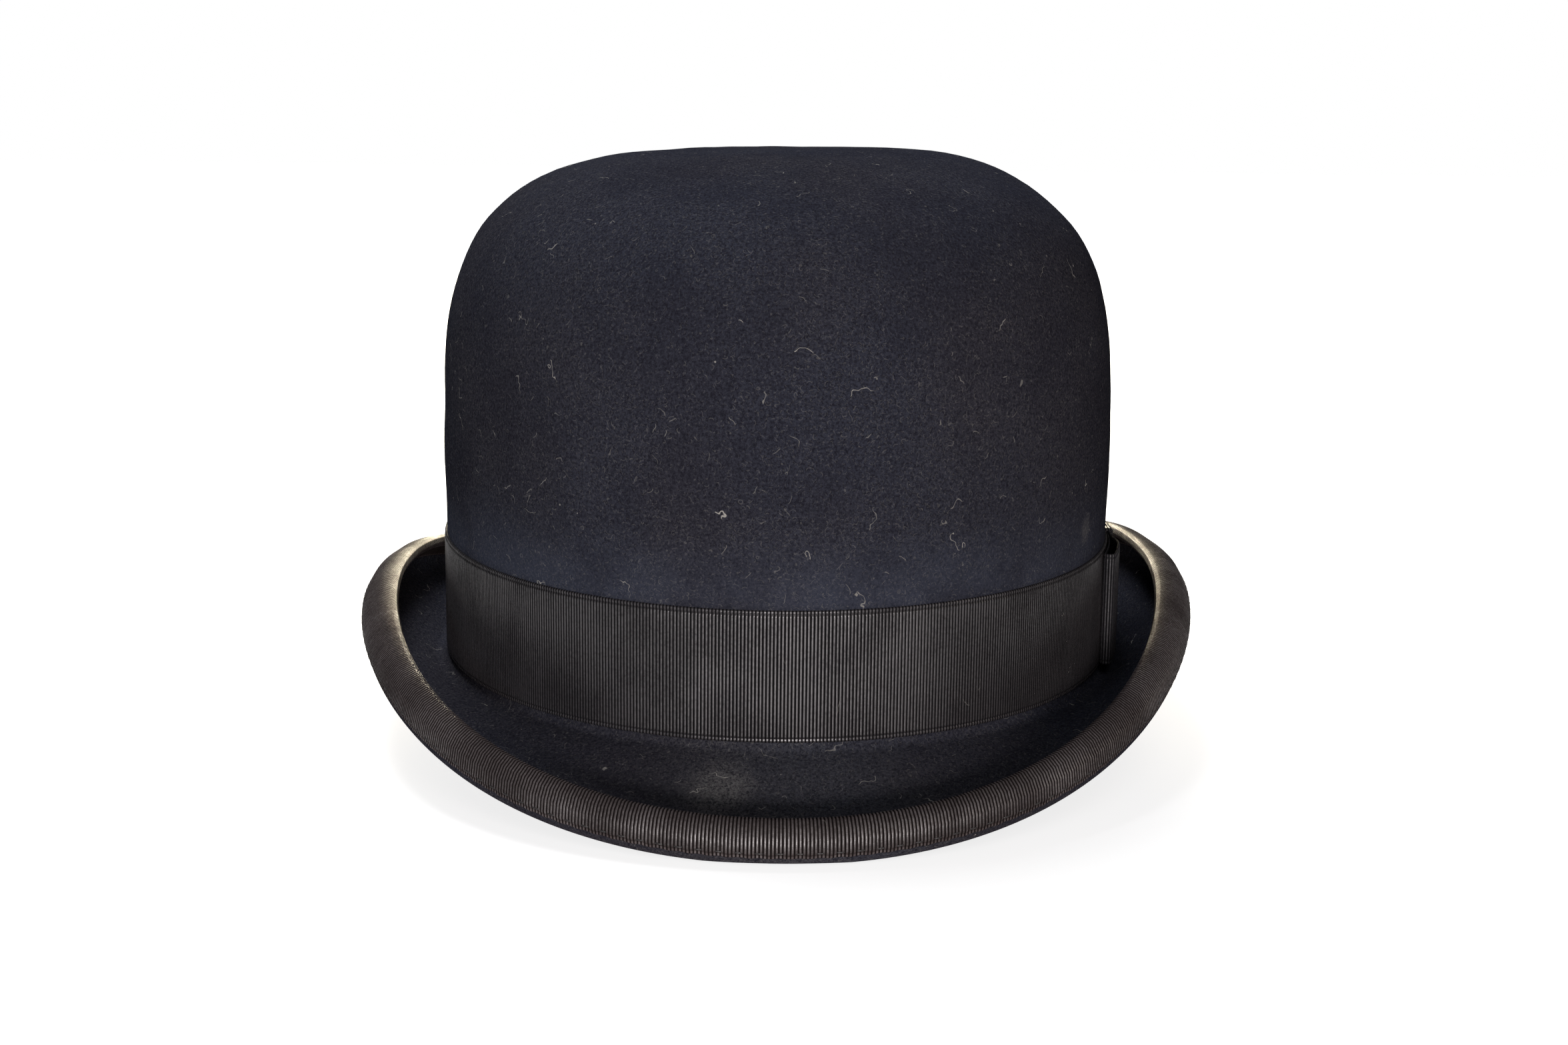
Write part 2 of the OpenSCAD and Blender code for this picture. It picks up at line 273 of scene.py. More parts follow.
def maths(tree, operation, first, second=0.0, clamp=False):
    return addNode(tree, "Math", {0: first, 1: second}, operation=operation, use_clamp=clamp).outputs[0]


def times(tree, product, *factors):
    for factor in factors:
        product = maths(tree, "MULTIPLY", product, factor)
    return product


def sloped(tree, value, slope, start):
    return maths(tree, "ADD", times(tree, value, slope), start)


def vectorMaths(tree, operation, first, second=(0, 0, 0), result="Vector"):
    return addNode(tree, "VectorMath", {0: first, 1: second}, operation=operation).outputs[result]


def scaled(tree, vector, factor):
    return addNode(tree, "VectorMath", {0: vector, "Scale": factor}, operation="SCALE").outputs[0]


def noiseAt(tree, place, scale, detail=2.0, roughness=0.5, result=0):
    inputs = {"Vector": place, "Scale": scale, "Detail": detail, "Roughness": roughness}
    return addNode(tree, "TexNoise", inputs).outputs[result]


def ramp(tree, value, low, high, first=0.0, last=1.0):
    names = ("From Min", "From Max", "To Min", "To Max")
    inputs = {"Value": value, **dict(zip(names, (low, high, first, last)))}
    return addNode(tree, "MapRange", inputs, interpolation_type="SMOOTHSTEP").outputs[0]


def between(tree, value, start, full, fade, end):
    return times(tree, ramp(tree, value, start, full), ramp(tree, value, fade, end, 1.0, 0.0))


def blendColours(tree, share, first, second):
    made = addNode(tree, "Mix", data_type="RGBA")
    for socket, value in zip((made.inputs[0], made.inputs[6], made.inputs[7]), (share, first, second)):
        connect(tree, value, socket)
    return made.outputs[2]


def roughen(tree, put, height, strength, distance):
    bump = addNode(tree, "Bump", {"Strength": strength, "Distance": distance, "Height": height})
    connect(tree, bump.outputs[0], put["Normal"])


def startGroup(name, inputs, outputs):
    group = bpy.data.node_groups.new(name, "ShaderNodeTree")
    for label, kind, value in inputs:
        socket = group.interface.new_socket(label, in_out="INPUT", socket_type="NodeSocket" + kind)
        if value is not None:
            socket.default_value = value
    for label, kind in outputs:
        group.interface.new_socket(label, in_out="OUTPUT", socket_type="NodeSocket" + kind)
    return group, group.nodes.new("NodeGroupInput").outputs, group.nodes.new("NodeGroupOutput").inputs


def useGroup(tree, group, inputs):
    made = addNode(tree, "Group")
    made.node_tree = group
    for key, value in inputs.items():
        connect(tree, value, made.inputs[key])
    return made.outputs


def startMaterial(name, uniform):  # uniform values go straight onto the shader's own sockets
    material = bpy.data.materials.new(name)
    material.use_nodes = True
    tree = material.node_tree
    shader = tree.nodes["Principled BSDF"]
    for key, value in uniform.items():
        shader.inputs[key].default_value = value
    return material, tree, shader.inputs


def makeLooseFibres():  # short curved hairs: thin bowl-shaped sheets, one to a cell, cut by the surface
    inputs = [
        ("Vector", "Vector", None),
        ("Spacing", "Float", 10 * mm),
        ("Length", "Float", 4 * mm),
        ("Width", "Float", 0.1 * mm),
        ("Bend", "Float", 0.8),
        ("Waver", "Float", 1 * mm),
        ("Share", "Float", 0.5),
    ]
    tree, given, put = startGroup("looseFibres", inputs, [("Mask", "Float")])
    half = (0.5, 0.5, 0.5)
    perCell = maths(tree, "DIVIDE", 1.0, given["Spacing"])
    drift = vectorMaths(tree, "SUBTRACT", noiseAt(tree, given["Vector"], 420.0, 1.0, result="Color"), half)
    place = vectorMaths(tree, "ADD", given["Vector"], scaled(tree, drift, given["Waver"]))
    place = scaled(tree, place, perCell)
    cells = addNode(tree, "TexVoronoi", {"Vector": place, "Scale": 1.0}, voronoi_dimensions="3D")
    middle = cells.outputs["Position"]
    draw = addNode(tree, "TexWhiteNoise", {"Vector": middle}, noise_dimensions="3D").outputs
    away = vectorMaths(tree, "NORMALIZE", vectorMaths(tree, "SUBTRACT", draw["Color"], half))
    bowl = vectorMaths(tree, "ADD", middle, scaled(tree, away, given["Bend"]))
    reach = vectorMaths(tree, "DISTANCE", place, middle, "Value")
    fromBowl = vectorMaths(tree, "DISTANCE", place, bowl, "Value")
    offSheet = maths(tree, "ABSOLUTE", maths(tree, "SUBTRACT", fromBowl, given["Bend"]))
    halfWidth = times(tree, given["Width"], times(tree, perCell, 0.5))
    halfLength = times(tree, given["Length"], times(tree, perCell, 0.5))
    thin = ramp(tree, maths(tree, "DIVIDE", offSheet, halfWidth), 0.5, 1.0, 1.0, 0.0)
    short = ramp(tree, maths(tree, "DIVIDE", reach, halfLength), 0.8, 1.0, 1.0, 0.0)
    chosen = maths(tree, "LESS_THAN", draw["Value"], given["Share"])
    pale = sloped(tree, maths(tree, "DIVIDE", draw["Value"], given["Share"]), 0.7, 0.3)  # some show less
    connect(tree, times(tree, thin, short, times(tree, chosen, pale)), put["Mask"])
    return tree


def makeMottle():  # cloudy grain at two sizes
    inputs = [("Vector", "Vector", None), ("Size", "Float", 1 * mm), ("Contrast", "Float", 0.5)]
    tree, given, put = startGroup("mottle", inputs, [("Shade", "Float"), ("Height", "Float")])
    scale = maths(tree, "DIVIDE", 1.0, given["Size"])
    coarse = noiseAt(tree, given["Vector"], scale, 3.0, 0.65)
    fine = noiseAt(tree, given["Vector"], times(tree, scale, 3.7), 2.0, 0.6)
    both = maths(tree, "ADD", times(tree, coarse, 0.62), times(tree, fine, 0.38))
    apart = times(tree, maths(tree, "SUBTRACT", both, 0.5), given["Contrast"], 4.0)
    connect(tree, maths(tree, "ADD", apart, 0.5, clamp=True), put["Shade"])
    connect(tree, both, put["Height"])
    return tree


looseFibres = makeLooseFibres()
mottle = makeMottle()


# felt hood

felt = {
    "columns": 320,
    "rows": {"curl": 14, "flank": 14, "corner": 8, "wall": 14, "dome": 46},
    "uneven": 0.5 * mm,  # a hand-blocked crown is never quite true
    "waves": [(24 * mm, 1.0), (9 * mm, 0.4)],  # size and strength
    "held": (3 * mm, 18 * mm),  # the ribbon's hold above it, and the height over which it lets go
    "lump": (Vector((38 * mm, 8 * mm, 142 * mm)), 26 * mm, 1.6 * mm),  # middle, reach and height
    "grain": 0.6 * mm,
    "clouds": 28.0,  # to the metre, like the patches of another hue
    "hues": 16.0,
    "dark": (0.0075, 0.0075, 0.0108, 1),
    "light": (0.0285, 0.0272, 0.033, 1),
    "blue": (0.0252, 0.0268, 0.0365, 1),
    "paler": (0.045, 0.052, 0.074, 1),
    "paleShare": 0.32,  # how strongly the paler, bluer colour shows above the ribbon
    "paleHeight": 20 * mm,  # and how high
    "lint": (0.24, 0.228, 0.205, 1),
    # middle and reach in millimetres, strength: two small dust spots, then a broad pale patch on the front of
    # the brim that is a painted pool of light
    "dustAndPaintedLight": [((-12.8, -112.7, 9.7), 11, 0.25), ((74.4, -51, 55.6), 5, 0.2), ((4, -118, 6), 46, 0.07)],
    # spacing, length and width in millimetres, share of places that hold one, how far it shows
    "fibres": [
        (0.7, 0.8, 0.16, 0.9, 0.115),
        (1.4, 1.4, 0.14, 0.8, 0.17),
        (4.2, 2.4, 0.17, 0.35, 0.45),
        (8, 0.5, 0.5, 0.3, 0.8),
        (11, 5.5, 0.22, 0.5, 1.0),
    ],
    "fibreBend": 0.55,
    "fibreWaver": 0.8,  # of a fibre's length
}


def feltMaterial():
    material, tree, put = startMaterial("woolFelt", {"Specular IOR Level": 0.0})
    place = addNode(tree, "TexCoord").outputs["Object"]
    grain = useGroup(tree, mottle, {"Vector": place, "Size": felt["grain"], "Contrast": 1.1})
    cloud = noiseAt(tree, place, felt["clouds"], 3.0, 0.6)
    shade = times(tree, grain["Shade"], ramp(tree, cloud, 0.3, 0.7, 0.86, 1.1))
    hue = ramp(tree, noiseAt(tree, place, felt["hues"]), 0.3, 0.7)
    colour = blendColours(tree, shade, felt["dark"], blendColours(tree, hue, felt["light"], felt["blue"]))
    up = addNode(tree, "SeparateXYZ", {0: place}).outputs["Z"]
    edge = bandHigh.z
    # a paler, bluer colour over the ribbon's upper edge, fading out over the next 20 mm
    paleBand = between(tree, up, edge - 2 * mm, edge + 2 * mm, edge, edge + felt["paleHeight"])
    paleBand = times(tree, paleBand, ramp(tree, cloud, 0.3, 0.6), felt["paleShare"])
    colour = blendColours(tree, paleBand, colour, felt["paler"])
    # dust spots, and a painted pool of light on the front of the brim
    for spot, reach, strength in felt["dustAndPaintedLight"]:
        away = vectorMaths(tree, "DISTANCE", place, [v * mm for v in spot], "Value")
        away = maths(tree, "ADD", away, times(tree, maths(tree, "SUBTRACT", cloud, 0.5), reach * mm))
        patch = ramp(tree, away, 0.25 * reach * mm, reach * mm, strength, 0.0)
        colour = blendColours(tree, times(tree, patch, grain["Shade"]), colour, felt["lint"])
    for spacing, length, width, share, strength in felt["fibres"]:
        inputs = {
            "Vector": place,
            "Spacing": spacing * mm,
            "Length": length * mm,
            "Width": width * mm,
            "Bend": felt["fibreBend"],
            "Waver": felt["fibreWaver"] * length * mm,
            "Share": ramp(tree, cloud, 0.35, 0.65, 0.4 * share, 1.5 * share),
        }
        fibres = useGroup(tree, looseFibres, inputs)
        colour = blendColours(tree, times(tree, fibres["Mask"], strength), colour, felt["lint"])
    connect(tree, colour, put["Base Color"])
    connect(tree, ramp(tree, grain["Shade"], 0.0, 1.0, 0.98, 0.82), put["Roughness"])
    roughen(tree, put, grain["Height"], 0.7, 0.3 * mm)
    return material


def unevenness(spot):
    wave = sum(strength * noise.noise(spot / size) for size, strength in felt["waves"]) + 0.5
    hold, letGo = felt["held"]
    clear = eased((spot.z - bandHigh.z - hold) / letGo)
    centre, reach, height = felt["lump"]
    return felt["uneven"] * max(wave, 0) * clear + height * math.exp(-((spot - centre).length / reach) ** 2)


def hoodSection(turn):  # from the edge of the curl, in along the brim, up the wall and over the top
    rows = felt["rows"]
    centre, radius, end, flank = brimCurl(turn)
    corner = (brim["corner"], crown["base"])
    curl = [polar(centre, radius - crown["thick"], a) for a in spread(end, flank - pi / 2, rows["curl"])]
    bend = [polar(corner, brim["corner"], a) for a in spread(flank + 1.5 * pi, pi, rows["corner"])]
    line = zip(*[spread(a, b, rows["flank"])[1:-1] for a, b in zip(curl[-1], bend[0])])
    wall = [(0, crown["base"] + up) for up in spread(0, crown["wall"], rows["wall"])[1:-1]]
    lower = [ovalPoint(turn, out, z) for out, z in curl + list(line) + bend]
    lower += [ovalPoint(turn, out + unevenness(ovalPoint(turn, out, z)), z) for out, z in wall]
    rises = [eased(share) * pi / 2 for share in spread(0, 1, rows["dome"])]
    return lower + [domePoint(turn, rise, -unevenness(domePoint(turn, rise))) for rise in rises]


hood = gridPiece("feltHood", [hoodSection(turn) for turn in spread(0, 2 * pi, felt["columns"])])
thicken(hood, crown["thick"])
for vertex in hood.data.vertices:
    vertex.co.z = max(vertex.co.z, 0)  # stands flat on the table
finishPiece(hood, feltMaterial(), ["felt_body"])


# grosgrain ribbon: rounded cords across it and a beaded edge

ribbon = {
    "pitch": 0.82 * mm,
    "steps": 4,  # columns to a cord
    "fullness": 0.5,  # of a cord's round, less being flatter on top
    "ribHeight": 0.18 * mm,
    "selvage": 0.9 * mm,
    "beadHeight": 0.12 * mm,
    "beadRound": 0.6,
    "beadLow": 0.35,  # of its height, between two cords
    "edgeThick": 0.6,  # of the body, at the very edge
    "ditchThick": 0.94,  # of the body, between the bead and the cords
    "ditchWidth": 0.4 * mm,
    "edgeRows": [inset * mm for inset in (0, 0.18, 0.45, 0.72, 0.9, 1.1, 1.3, 1.5)],
    "crease": 42,
    "crest": (0.14, 0.42),  # from the middle of a cord to the end of its lit top and to its foot; the colour darkens from the top to the foot, a painted shade in the grooves
    "wrapStep": 0.28,  # in millimetres, like the bead and the ditch
    # where the cords of the beaded edge are painted lighter, a painted highlight
    "bead": (0.1, 0.35, 0.7, 0.92),
    # where the ditch inside the beaded edge is painted darker, painted shade
    "ditch": (0.75, 0.98, 1.05, 1.5),
    "dust": {
        "Spacing": 8 * mm, "Length": 3 * mm, "Width": 0.1 * mm, "Bend": 0.5, "Waver": 2 * mm, "Share": 0.14,
    },
}


def cordRound(column):
    return abs(math.sin(pi * column / ribbon["steps"])) ** ribbon["fullness"]


def ribbonLift(inset, column, thick):  # height of the face above the back, inset from the nearer edge
    body = thick - ribbon["ribHeight"]
    if inset < ribbon["selvage"]:
        bead = math.sin(pi * inset / ribbon["selvage"]) ** ribbon["beadRound"]
        low, thin = ribbon["beadLow"], ribbon["edgeThick"]
        height = ribbon["beadHeight"] * bead * (low + (1 - low) * cordRound(column))
        return body * (thin + (1 - thin) * bead) + height
    full = eased((inset - ribbon["selvage"]) / ribbon["ditchWidth"])
    thin = ribbon["ditchThick"]
    return body * thin + (body * (1 - thin) + ribbon["ribHeight"] * cordRound(column)) * full


def ribbonRows(width, middleRows):  # heights of the rows across a ribbon, closer together at its edges
    low = ribbon["edgeRows"]
    middle = spread(low[-1], width - low[-1], middleRows)[1:-1]
    return low + middle + [width - inset for inset in reversed(low)]


def fromEdge(across):  # millimetres in from the nearer edge
    return [min(a, across[-1] - a) / mm for a in across]


def ribbonMaterial(name, look):  # the shine lies on the cords alone
    uniform = {"Specular IOR Level": 0.0, "Coat Roughness": look["roughness"], "Coat IOR": look["coatIor"]}
    material, tree, put = startMaterial(name, uniform)
    chart = addNode(tree, "TexCoord").outputs
    split = addNode(tree, "SeparateXYZ", {0: chart["UV"]}).outputs
    along, inset = split["X"], split["Y"]  # cords along, millimetres in from the edge
    number = maths(tree, "FLOOR", along)
    offCrest = maths(tree, "ABSOLUTE", maths(tree, "SUBTRACT", maths(tree, "FRACT", along), 0.5))
    crest = ramp(tree, offCrest, *ribbon["crest"], 1.0, 0.0)
    tone = addNode(tree, "TexWhiteNoise", {"W": number}, noise_dimensions="1D").outputs["Value"]
    grain = useGroup(tree, mottle, {"Vector": chart["Object"], "Size": 0.8 * mm, "Contrast": 0.7})
    cloud = noiseAt(tree, chart["Object"], 60.0, 3.0)
    # the fine threads that wrap each cord lie across it, half a step on from cord to cord
    wrap = maths(tree, "SINE", sloped(tree, inset, 2 * pi / ribbon["wrapStep"], times(tree, number, pi)))
    # painted shade: the colour runs from the cord colour on each cord's top down to near black in the
    # grooves; the beaded edge is painted lighter as a painted highlight, and the ditch inside it darker as
    # painted shade
    share = times(
        tree,
        crest,
        sloped(tree, tone, 0.1, 0.84),
        sloped(tree, grain["Shade"], 0.7, 0.65),
        sloped(tree, wrap, 0.12, 0.88),
        ramp(tree, cloud, 0.3, 0.7, 0.75, 1.1),
        sloped(tree, between(tree, inset, *ribbon["bead"]), 0.5, 0.85),
        sloped(tree, between(tree, inset, *ribbon["ditch"]), -0.25, 1.0),
    )
    colour = blendColours(tree, share, look["shadedGroove"], look["cord"])
    dust = useGroup(tree, looseFibres, {"Vector": chart["Object"], **ribbon["dust"]})
    colour = blendColours(tree, times(tree, dust["Mask"], 0.5), colour, felt["lint"])
    connect(tree, colour, put["Base Color"])
    inward = ramp(tree, inset, 0.7, 1.4, 0.28, 1.0)
    gloss = times(tree, share, share, times(tree, inward, look["shine"]))
    connect(tree, maths(tree, "MINIMUM", gloss, 1.0), put["Coat Weight"])
    connect(tree, ramp(tree, crest, 0.0, 1.0, 0.95, 0.75), put["Roughness"])
    roughen(tree, put, sloped(tree, wrap, 0.14, grain["Height"]), 0.4, 0.12 * mm)
    return material


# band round the crown

band = {
    "height": bandHigh.z - bandLow.z,
    "gap": 1 * mm,  # between its two ends, under the bow
    "middleRows": 6,
    "look": {
        "shadedGroove": (0.0045, 0.0043, 0.0047, 1),
        "cord": (0.037, 0.0335, 0.035, 1),
        "shine": 2.3,
        "roughness": 0.38,
        "coatIor": 1.8,
    },
}


def bandOutline(turn):
    return ovalPoint(turn, bandFace, crown["base"])


def bandSection(turn, column):
    rows = ribbonRows(band["height"], band["middleRows"])
    face = [(seat + ribbonLift(min(z, band["height"] - z), column, bandThick), z) for z in rows]
    back = [(seat, rows[-1]), (seat, rows[0])]
    return [ovalPoint(turn, out, crown["base"] + z) for out, z in face + back + face[:1]]


halfGap = band["gap"] / crown["length"]
bandEnds = (halfGap, 2 * pi - halfGap)
roundBand = pathLength(bandOutline, *bandEnds)
bandCords = round(roundBand / ribbon["pitch"])
bandTurns = evenTurns(bandOutline, bandCords * ribbon["steps"], *bandEnds)[0]
bandRows = fromEdge(ribbonRows(band["height"], band["middleRows"]))
ribbonBand = gridPiece(
    "ribbonBand",
    [bandSection(turn, column) for column, turn in enumerate(bandTurns)],
    bandCords,
    bandRows + [bandRows[-1], bandRows[0], bandRows[0]],
)
closeEnds(ribbonBand)
bandRibbon = ribbonMaterial("bandGrosgrain", band["look"])
finishPiece(ribbonBand, bandRibbon, ["hat_band"], ribbon["crease"])


# flat bow at the wearer's left

bow = {
    "length": 72 * mm,
    "height": 28.6 * mm,
    "puff": 3.2 * mm,
    "knot": 14 * mm,
    "middleRows": 6,
    "look": {
        "shadedGroove": (0.0045, 0.0045, 0.005, 1),
        "cord": (0.035, 0.0335, 0.0365, 1),
        "shine": 1.0,
        "roughness": 0.47,
        "coatIor": 1.8,
    },
}
bowStrap = {
    "length": bow["knot"],
    "round": 0.9 * mm,
    "thick": bandThick,
    "pleat": 0.22 * mm,
    "cord": ribbon["ribHeight"],
}
bowFoot = (band["height"] - bow["height"]) / 2
pinch = 2 * bandThick + seat
folds = {  # of any bow
    "loopSteps": (40, 16, 60),  # along the wall, round the fold and back
    "loopWall": 0.7,  # of the ribbon's thickness
    "strapWall": 0.6,
    "strapRows": 28,
    "strapRound": 8,
    "waist": 0.07,  # how much narrower a strap is in its middle
    "pleats": 2.5,
    "softEdge": 0.12,  # of half a strap's length
    "edgeSink": 0.4,  # of the ribbon's thickness
}


def loopPath(start, end, puff, low, rise):  # along the wall, round the fold and back down to the knot
    fold = end - puff / 2
    stepsThere, stepsRound, stepsBack = folds["loopSteps"]
    there = [(along, 0) for along in spread(start, fold, stepsThere)]
    turned = [polar((fold, puff / 2), puff / 2, a) for a in spread(-pi / 2, pi / 2, stepsRound)[1:-1]]
    back = []
    for along in spread(fold, start, stepsBack):
        lift = eased((along - rise) / (fold - rise) * 2)  # full from halfway
        back.append((along, low + (puff - low) * lift))
    return there + turned + back


def evenPath(path, step):  # the same path in equal steps, with its length
    lengths = lengthsAlong(path, math.dist)
    found = []
    for k, share in evenSpots(lengths, round(lengths[-1] / step)):
        found.append([a + (b - a) * share for a, b in zip(path[k], path[k + 1])])
    return found, lengths[-1]


def sideNormals(path):  # unit steps to the right of the way along a path
    found = []
    for k in range(len(path)):
        a, b = path[max(k - 1, 0)], path[min(k + 1, len(path) - 1)]
        length = math.dist(a, b)
        found.append(((b[1] - a[1]) / length, (a[0] - b[0]) / length))
    return found


def loopPiece(name, path, rows, thick, faceLift, wallPoint, backwards):
    path, length = evenPath(path, ribbon["pitch"] / ribbon["steps"])
    width = rows[-1]
    sections = []
    for column, (spot, normal) in enumerate(zip(path, sideNormals(path))):
        section = []
        for z in rows:
            lift = faceLift(min(z, width - z), column, thick) - thick
            section.append(wallPoint(spot[0] + normal[0] * lift, spot[1] + normal[1] * lift, z))
        sections.append(section)
    if backwards:
        sections.reverse()
    piece = gridPiece(name, sections, length / ribbon["pitch"], fromEdge(rows))
    thicken(piece, thick * folds["loopWall"])
    return piece, length


def strapPiece(name, strap, lift, low, high, wallPoint, backwards):  # across a bow, drawn into soft pleats
    radius, thick = strap["round"], strap["thick"]
    path = [(0, low)]
    path += [polar((lift - radius, low + radius), radius, a) for a in spread(-pi / 2, 0, folds["strapRound"])]
    path += [polar((lift - radius, high - radius), radius, a) for a in spread(0, pi / 2, folds["strapRound"])]
    path += [(0, high)]
    path, length = evenPath(path, ribbon["pitch"] / ribbon["steps"])
    rows = spread(-1, 1, folds["strapRows"])
    sections = []
    for column, (spot, normal) in enumerate(zip(path, sideNormals(path))):
        share = 2 * column / (len(path) - 1) - 1  # -1 under the bow, 1 above it
        waist = 1 - folds["waist"] * (1 - share * share)
        cord = cordRound(column) * strap["cord"]
        section = []
        for row in rows:
            edge = eased((1 - abs(row)) / folds["softEdge"])
            pleat = strap["pleat"] * math.cos(row * folds["pleats"] * pi) * eased(1.5 - abs(share) * 1.2)
            rise = pleat * edge + cord - strap["cord"] - folds["edgeSink"] * thick * (1 - edge)
            along = row * waist * strap["length"] / 2
            section.append(wallPoint(along, spot[0] + normal[0] * rise, spot[1] + normal[1] * rise))
        sections.append(section)
    if backwards:
        sections.reverse()
    across = [(row + 1) * strap["length"] / 2 for row in rows]
    piece = gridPiece(name, sections, length / ribbon["pitch"], fromEdge(across))
    thicken(piece, thick * folds["strapWall"])
    return piece, length


def bowWall(side):
    def point(along, lift, z):
        turn = side * along / (crown["length"] / 2)
        return ovalPoint(turn, bandFace + seat + lift, crown["base"] + bowFoot + z)
    return point


bowRibbon = ribbonMaterial("bowGrosgrain", bow["look"])
bowRows = ribbonRows(bow["height"], bow["middleRows"])
bowPath = loopPath(seat, bow["length"] / 2, bow["puff"], pinch, bow["knot"] / 2)
for name, side, node in (("bowFrontLoop", -1, "bow_front_loop"), ("bowRearLoop", 1, "bow_rear_loop")):
    loop, loopLength = loopPiece(name, bowPath, bowRows, bandThick, ribbonLift, bowWall(side), side > 0)
    finishPiece(loop, bowRibbon, [node], ribbon["crease"])

strapLift = pinch + 2 * seat + bandThick
strapEnds = (-seat - bandThick, bow["height"] + (seat + bandThick))
knot, knotLength = strapPiece("bowKnot", bowStrap, strapLift, *strapEnds, bowWall(1), True)
finishPiece(knot, bowRibbon, ["bow_knot"], ribbon["crease"])


# ribbon that binds the edge of the brim, sewn along its outer edge

binding = {
    "frontWidth": 8.4 * mm,
    "sideWidth": 11.2 * mm,
    "innerWidth": 6.4 * mm,
    "foldWidth": 4.2 * mm,  # the part that goes over the edge
    "thick": 0.5 * mm,
    "stitchPitch": 4.3 * mm,
    "stitchInset": 1.2 * mm,
    "stitchDepth": 0.14 * mm,
    "stitch": (1.9 * mm, 0.36 * mm, 0.14 * mm),  # length, thickness and how far its ends sink
    "pucker": 0.22 * mm,
    "dip": (0.16 * mm, 0.5 * mm),  # under a stitch: depth and reach
    "edgeRows": [inset * mm for inset in (0, 0.3, 0.8, 1.15, 1.6)],
    "innerRows": [inset * mm for inset in (1.0, 0.3, 0)],
    "faceShares": [0.33, 0.67],
    "foldSteps": 4,
    "hiddenRows": 6,  # of a section, against the felt
    "look": {
        "shadedGroove": (0.0065, 0.0051, 0.0049, 1),
        "cord": (0.0531, 0.0415, 0.0402, 1),
        "shine": 1.3,
        "roughness": 0.47,
        "coatIor": 2.3,
    },
    "thread": ((0.008, 0.0076, 0.0076, 1), (0.034, 0.031, 0.03, 1)),
}


def outerWidth(turn):
    return frontToSide(binding["frontWidth"], binding["sideWidth"], turn)


def bindingEdge(turn):  # lower edge of the binding on the outside of the curl
    centre, radius, end = brimCurl(turn)[:3]
    return ovalPoint(turn, *polar(centre, radius + seat, end - outerWidth(turn) / radius))


def bindingSection(turn, column, stitchShare):
    centre, radius, end = brimCurl(turn)[:3]
    thick = binding["thick"]
    drawn = 0.5 + 0.5 * math.cos(2 * pi * stitchShare)  # 1 at the middle of a stitch
    low = end - (outerWidth(turn) - binding["pucker"] * drawn) / radius
    near = radius - crown["thick"] - seat
    inner = end - binding["innerWidth"] / (radius - crown["thick"])
    fold = polar(centre, radius - crown["thick"] / 2, end)
    fold = (fold[0] - seat * math.sin(end), fold[1] + seat * math.cos(end))
    foldRadius = crown["thick"] / 2 + seat
    dipDepth, dipReach = binding["dip"]
    section = []
    for inset in binding["edgeRows"]:
        dip = dipDepth * drawn * math.exp(-((inset - binding["stitchInset"]) / dipReach) ** 2)
        lift = ribbonLift(inset, column, thick) - dip
        section.append(polar(centre, radius + seat + lift, low + inset / radius))
    lift = ribbonLift(binding["edgeRows"][-1], column, thick)
    start = low + binding["edgeRows"][-1] / radius
    for share in binding["faceShares"]:
        section.append(polar(centre, radius + seat + lift, start + (end - start) * share))
    section += [polar(fold, foldRadius + lift, a) for a in spread(end, end + pi, binding["foldSteps"])]
    section.append(polar(centre, near - lift, (end + inner) / 2))
    for inset in binding["innerRows"]:
        section.append(polar(centre, near - ribbonLift(inset, column, thick), inner + inset / near))
    section.append(polar(centre, near, inner))
    section += [polar(fold, foldRadius, a) for a in (end + pi, end)]
    section += [polar(centre, radius + seat, a) for a in ((end + low) / 2, low)]
    return [ovalPoint(turn, out, z) for out, z in section + section[:1]]


roundEdge = pathLength(bindingEdge)
bindingCords = round(roundEdge / ribbon["pitch"])
stitchCount = round(roundEdge / binding["stitchPitch"])
bindingTurns = evenTurns(bindingEdge, bindingCords * ribbon["steps"])[0]
bindingSections = []
for column, turn in enumerate(bindingTurns):
    stitchShare = column / (len(bindingTurns) - 1) * stitchCount
    bindingSections.append(bindingSection(turn, column, stitchShare))
faceRows = len(bindingSections[0]) - binding["hiddenRows"]
acrossBinding = fromEdge(lengthsAlong(bindingSections[0])[:faceRows]) + [0] * binding["hiddenRows"]
brimBinding = gridPiece("brimBinding", bindingSections, bindingCords, acrossBinding)
bindingRibbon = ribbonMaterial("bindingGrosgrain", binding["look"])
finishPiece(brimBinding, bindingRibbon, ["brim_binding"], ribbon["crease"])


# sewing thread

thread = {
    "sides": 8,
    "rings": 6,
    "nudge": 0.002,  # of a turn to either side, for the way along a seam
    "ply": 900.0,
}


def threadStitch(length, thick, sink):  # one stitch, blunter than a ball, its ends drawn into the cloth
    bpy.ops.object.select_all(action="DESELECT")
    bpy.ops.mesh.primitive_uv_sphere_add(
        segments=thread["sides"], ring_count=thread["rings"], radius=0.5, rotation=(0, pi / 2, 0)
    )
    stitch = bpy.context.active_object
    bpy.ops.object.transform_apply(rotation=True)
    for vertex in stitch.data.vertices:
        along, side, up = vertex.co
        reach = abs(2 * along)  # 1 at the ends
        full = (1 - reach ** 4) ** 0.25 / (1 - reach ** 2) ** 0.5 if reach < 0.998 else 1
        vertex.co = (along * length, side * full * thick, up * full * thick - sink * reach ** 2)
    return stitch


def stitchPlace(point, ahead, away):  # a stitch's own axes: along the seam and off the cloth
    along = ahead.normalized()
    off = (away - along * away.dot(along)).normalized()
    place = Matrix((along, off.cross(along), off)).transposed().to_4x4()
    place.translation = point
    return place


def stitchRow(name, seamPoint, turns, stitch):  # seamPoint takes a turn and a height off the cloth
    places = []
    for turn in turns:
        point = seamPoint(turn)
        ahead = seamPoint(turn + thread["nudge"]) - seamPoint(turn - thread["nudge"])
        places.append(stitchPlace(point, ahead, seamPoint(turn, mm) - point))
    return copyAlong(name, threadStitch(*stitch), places)


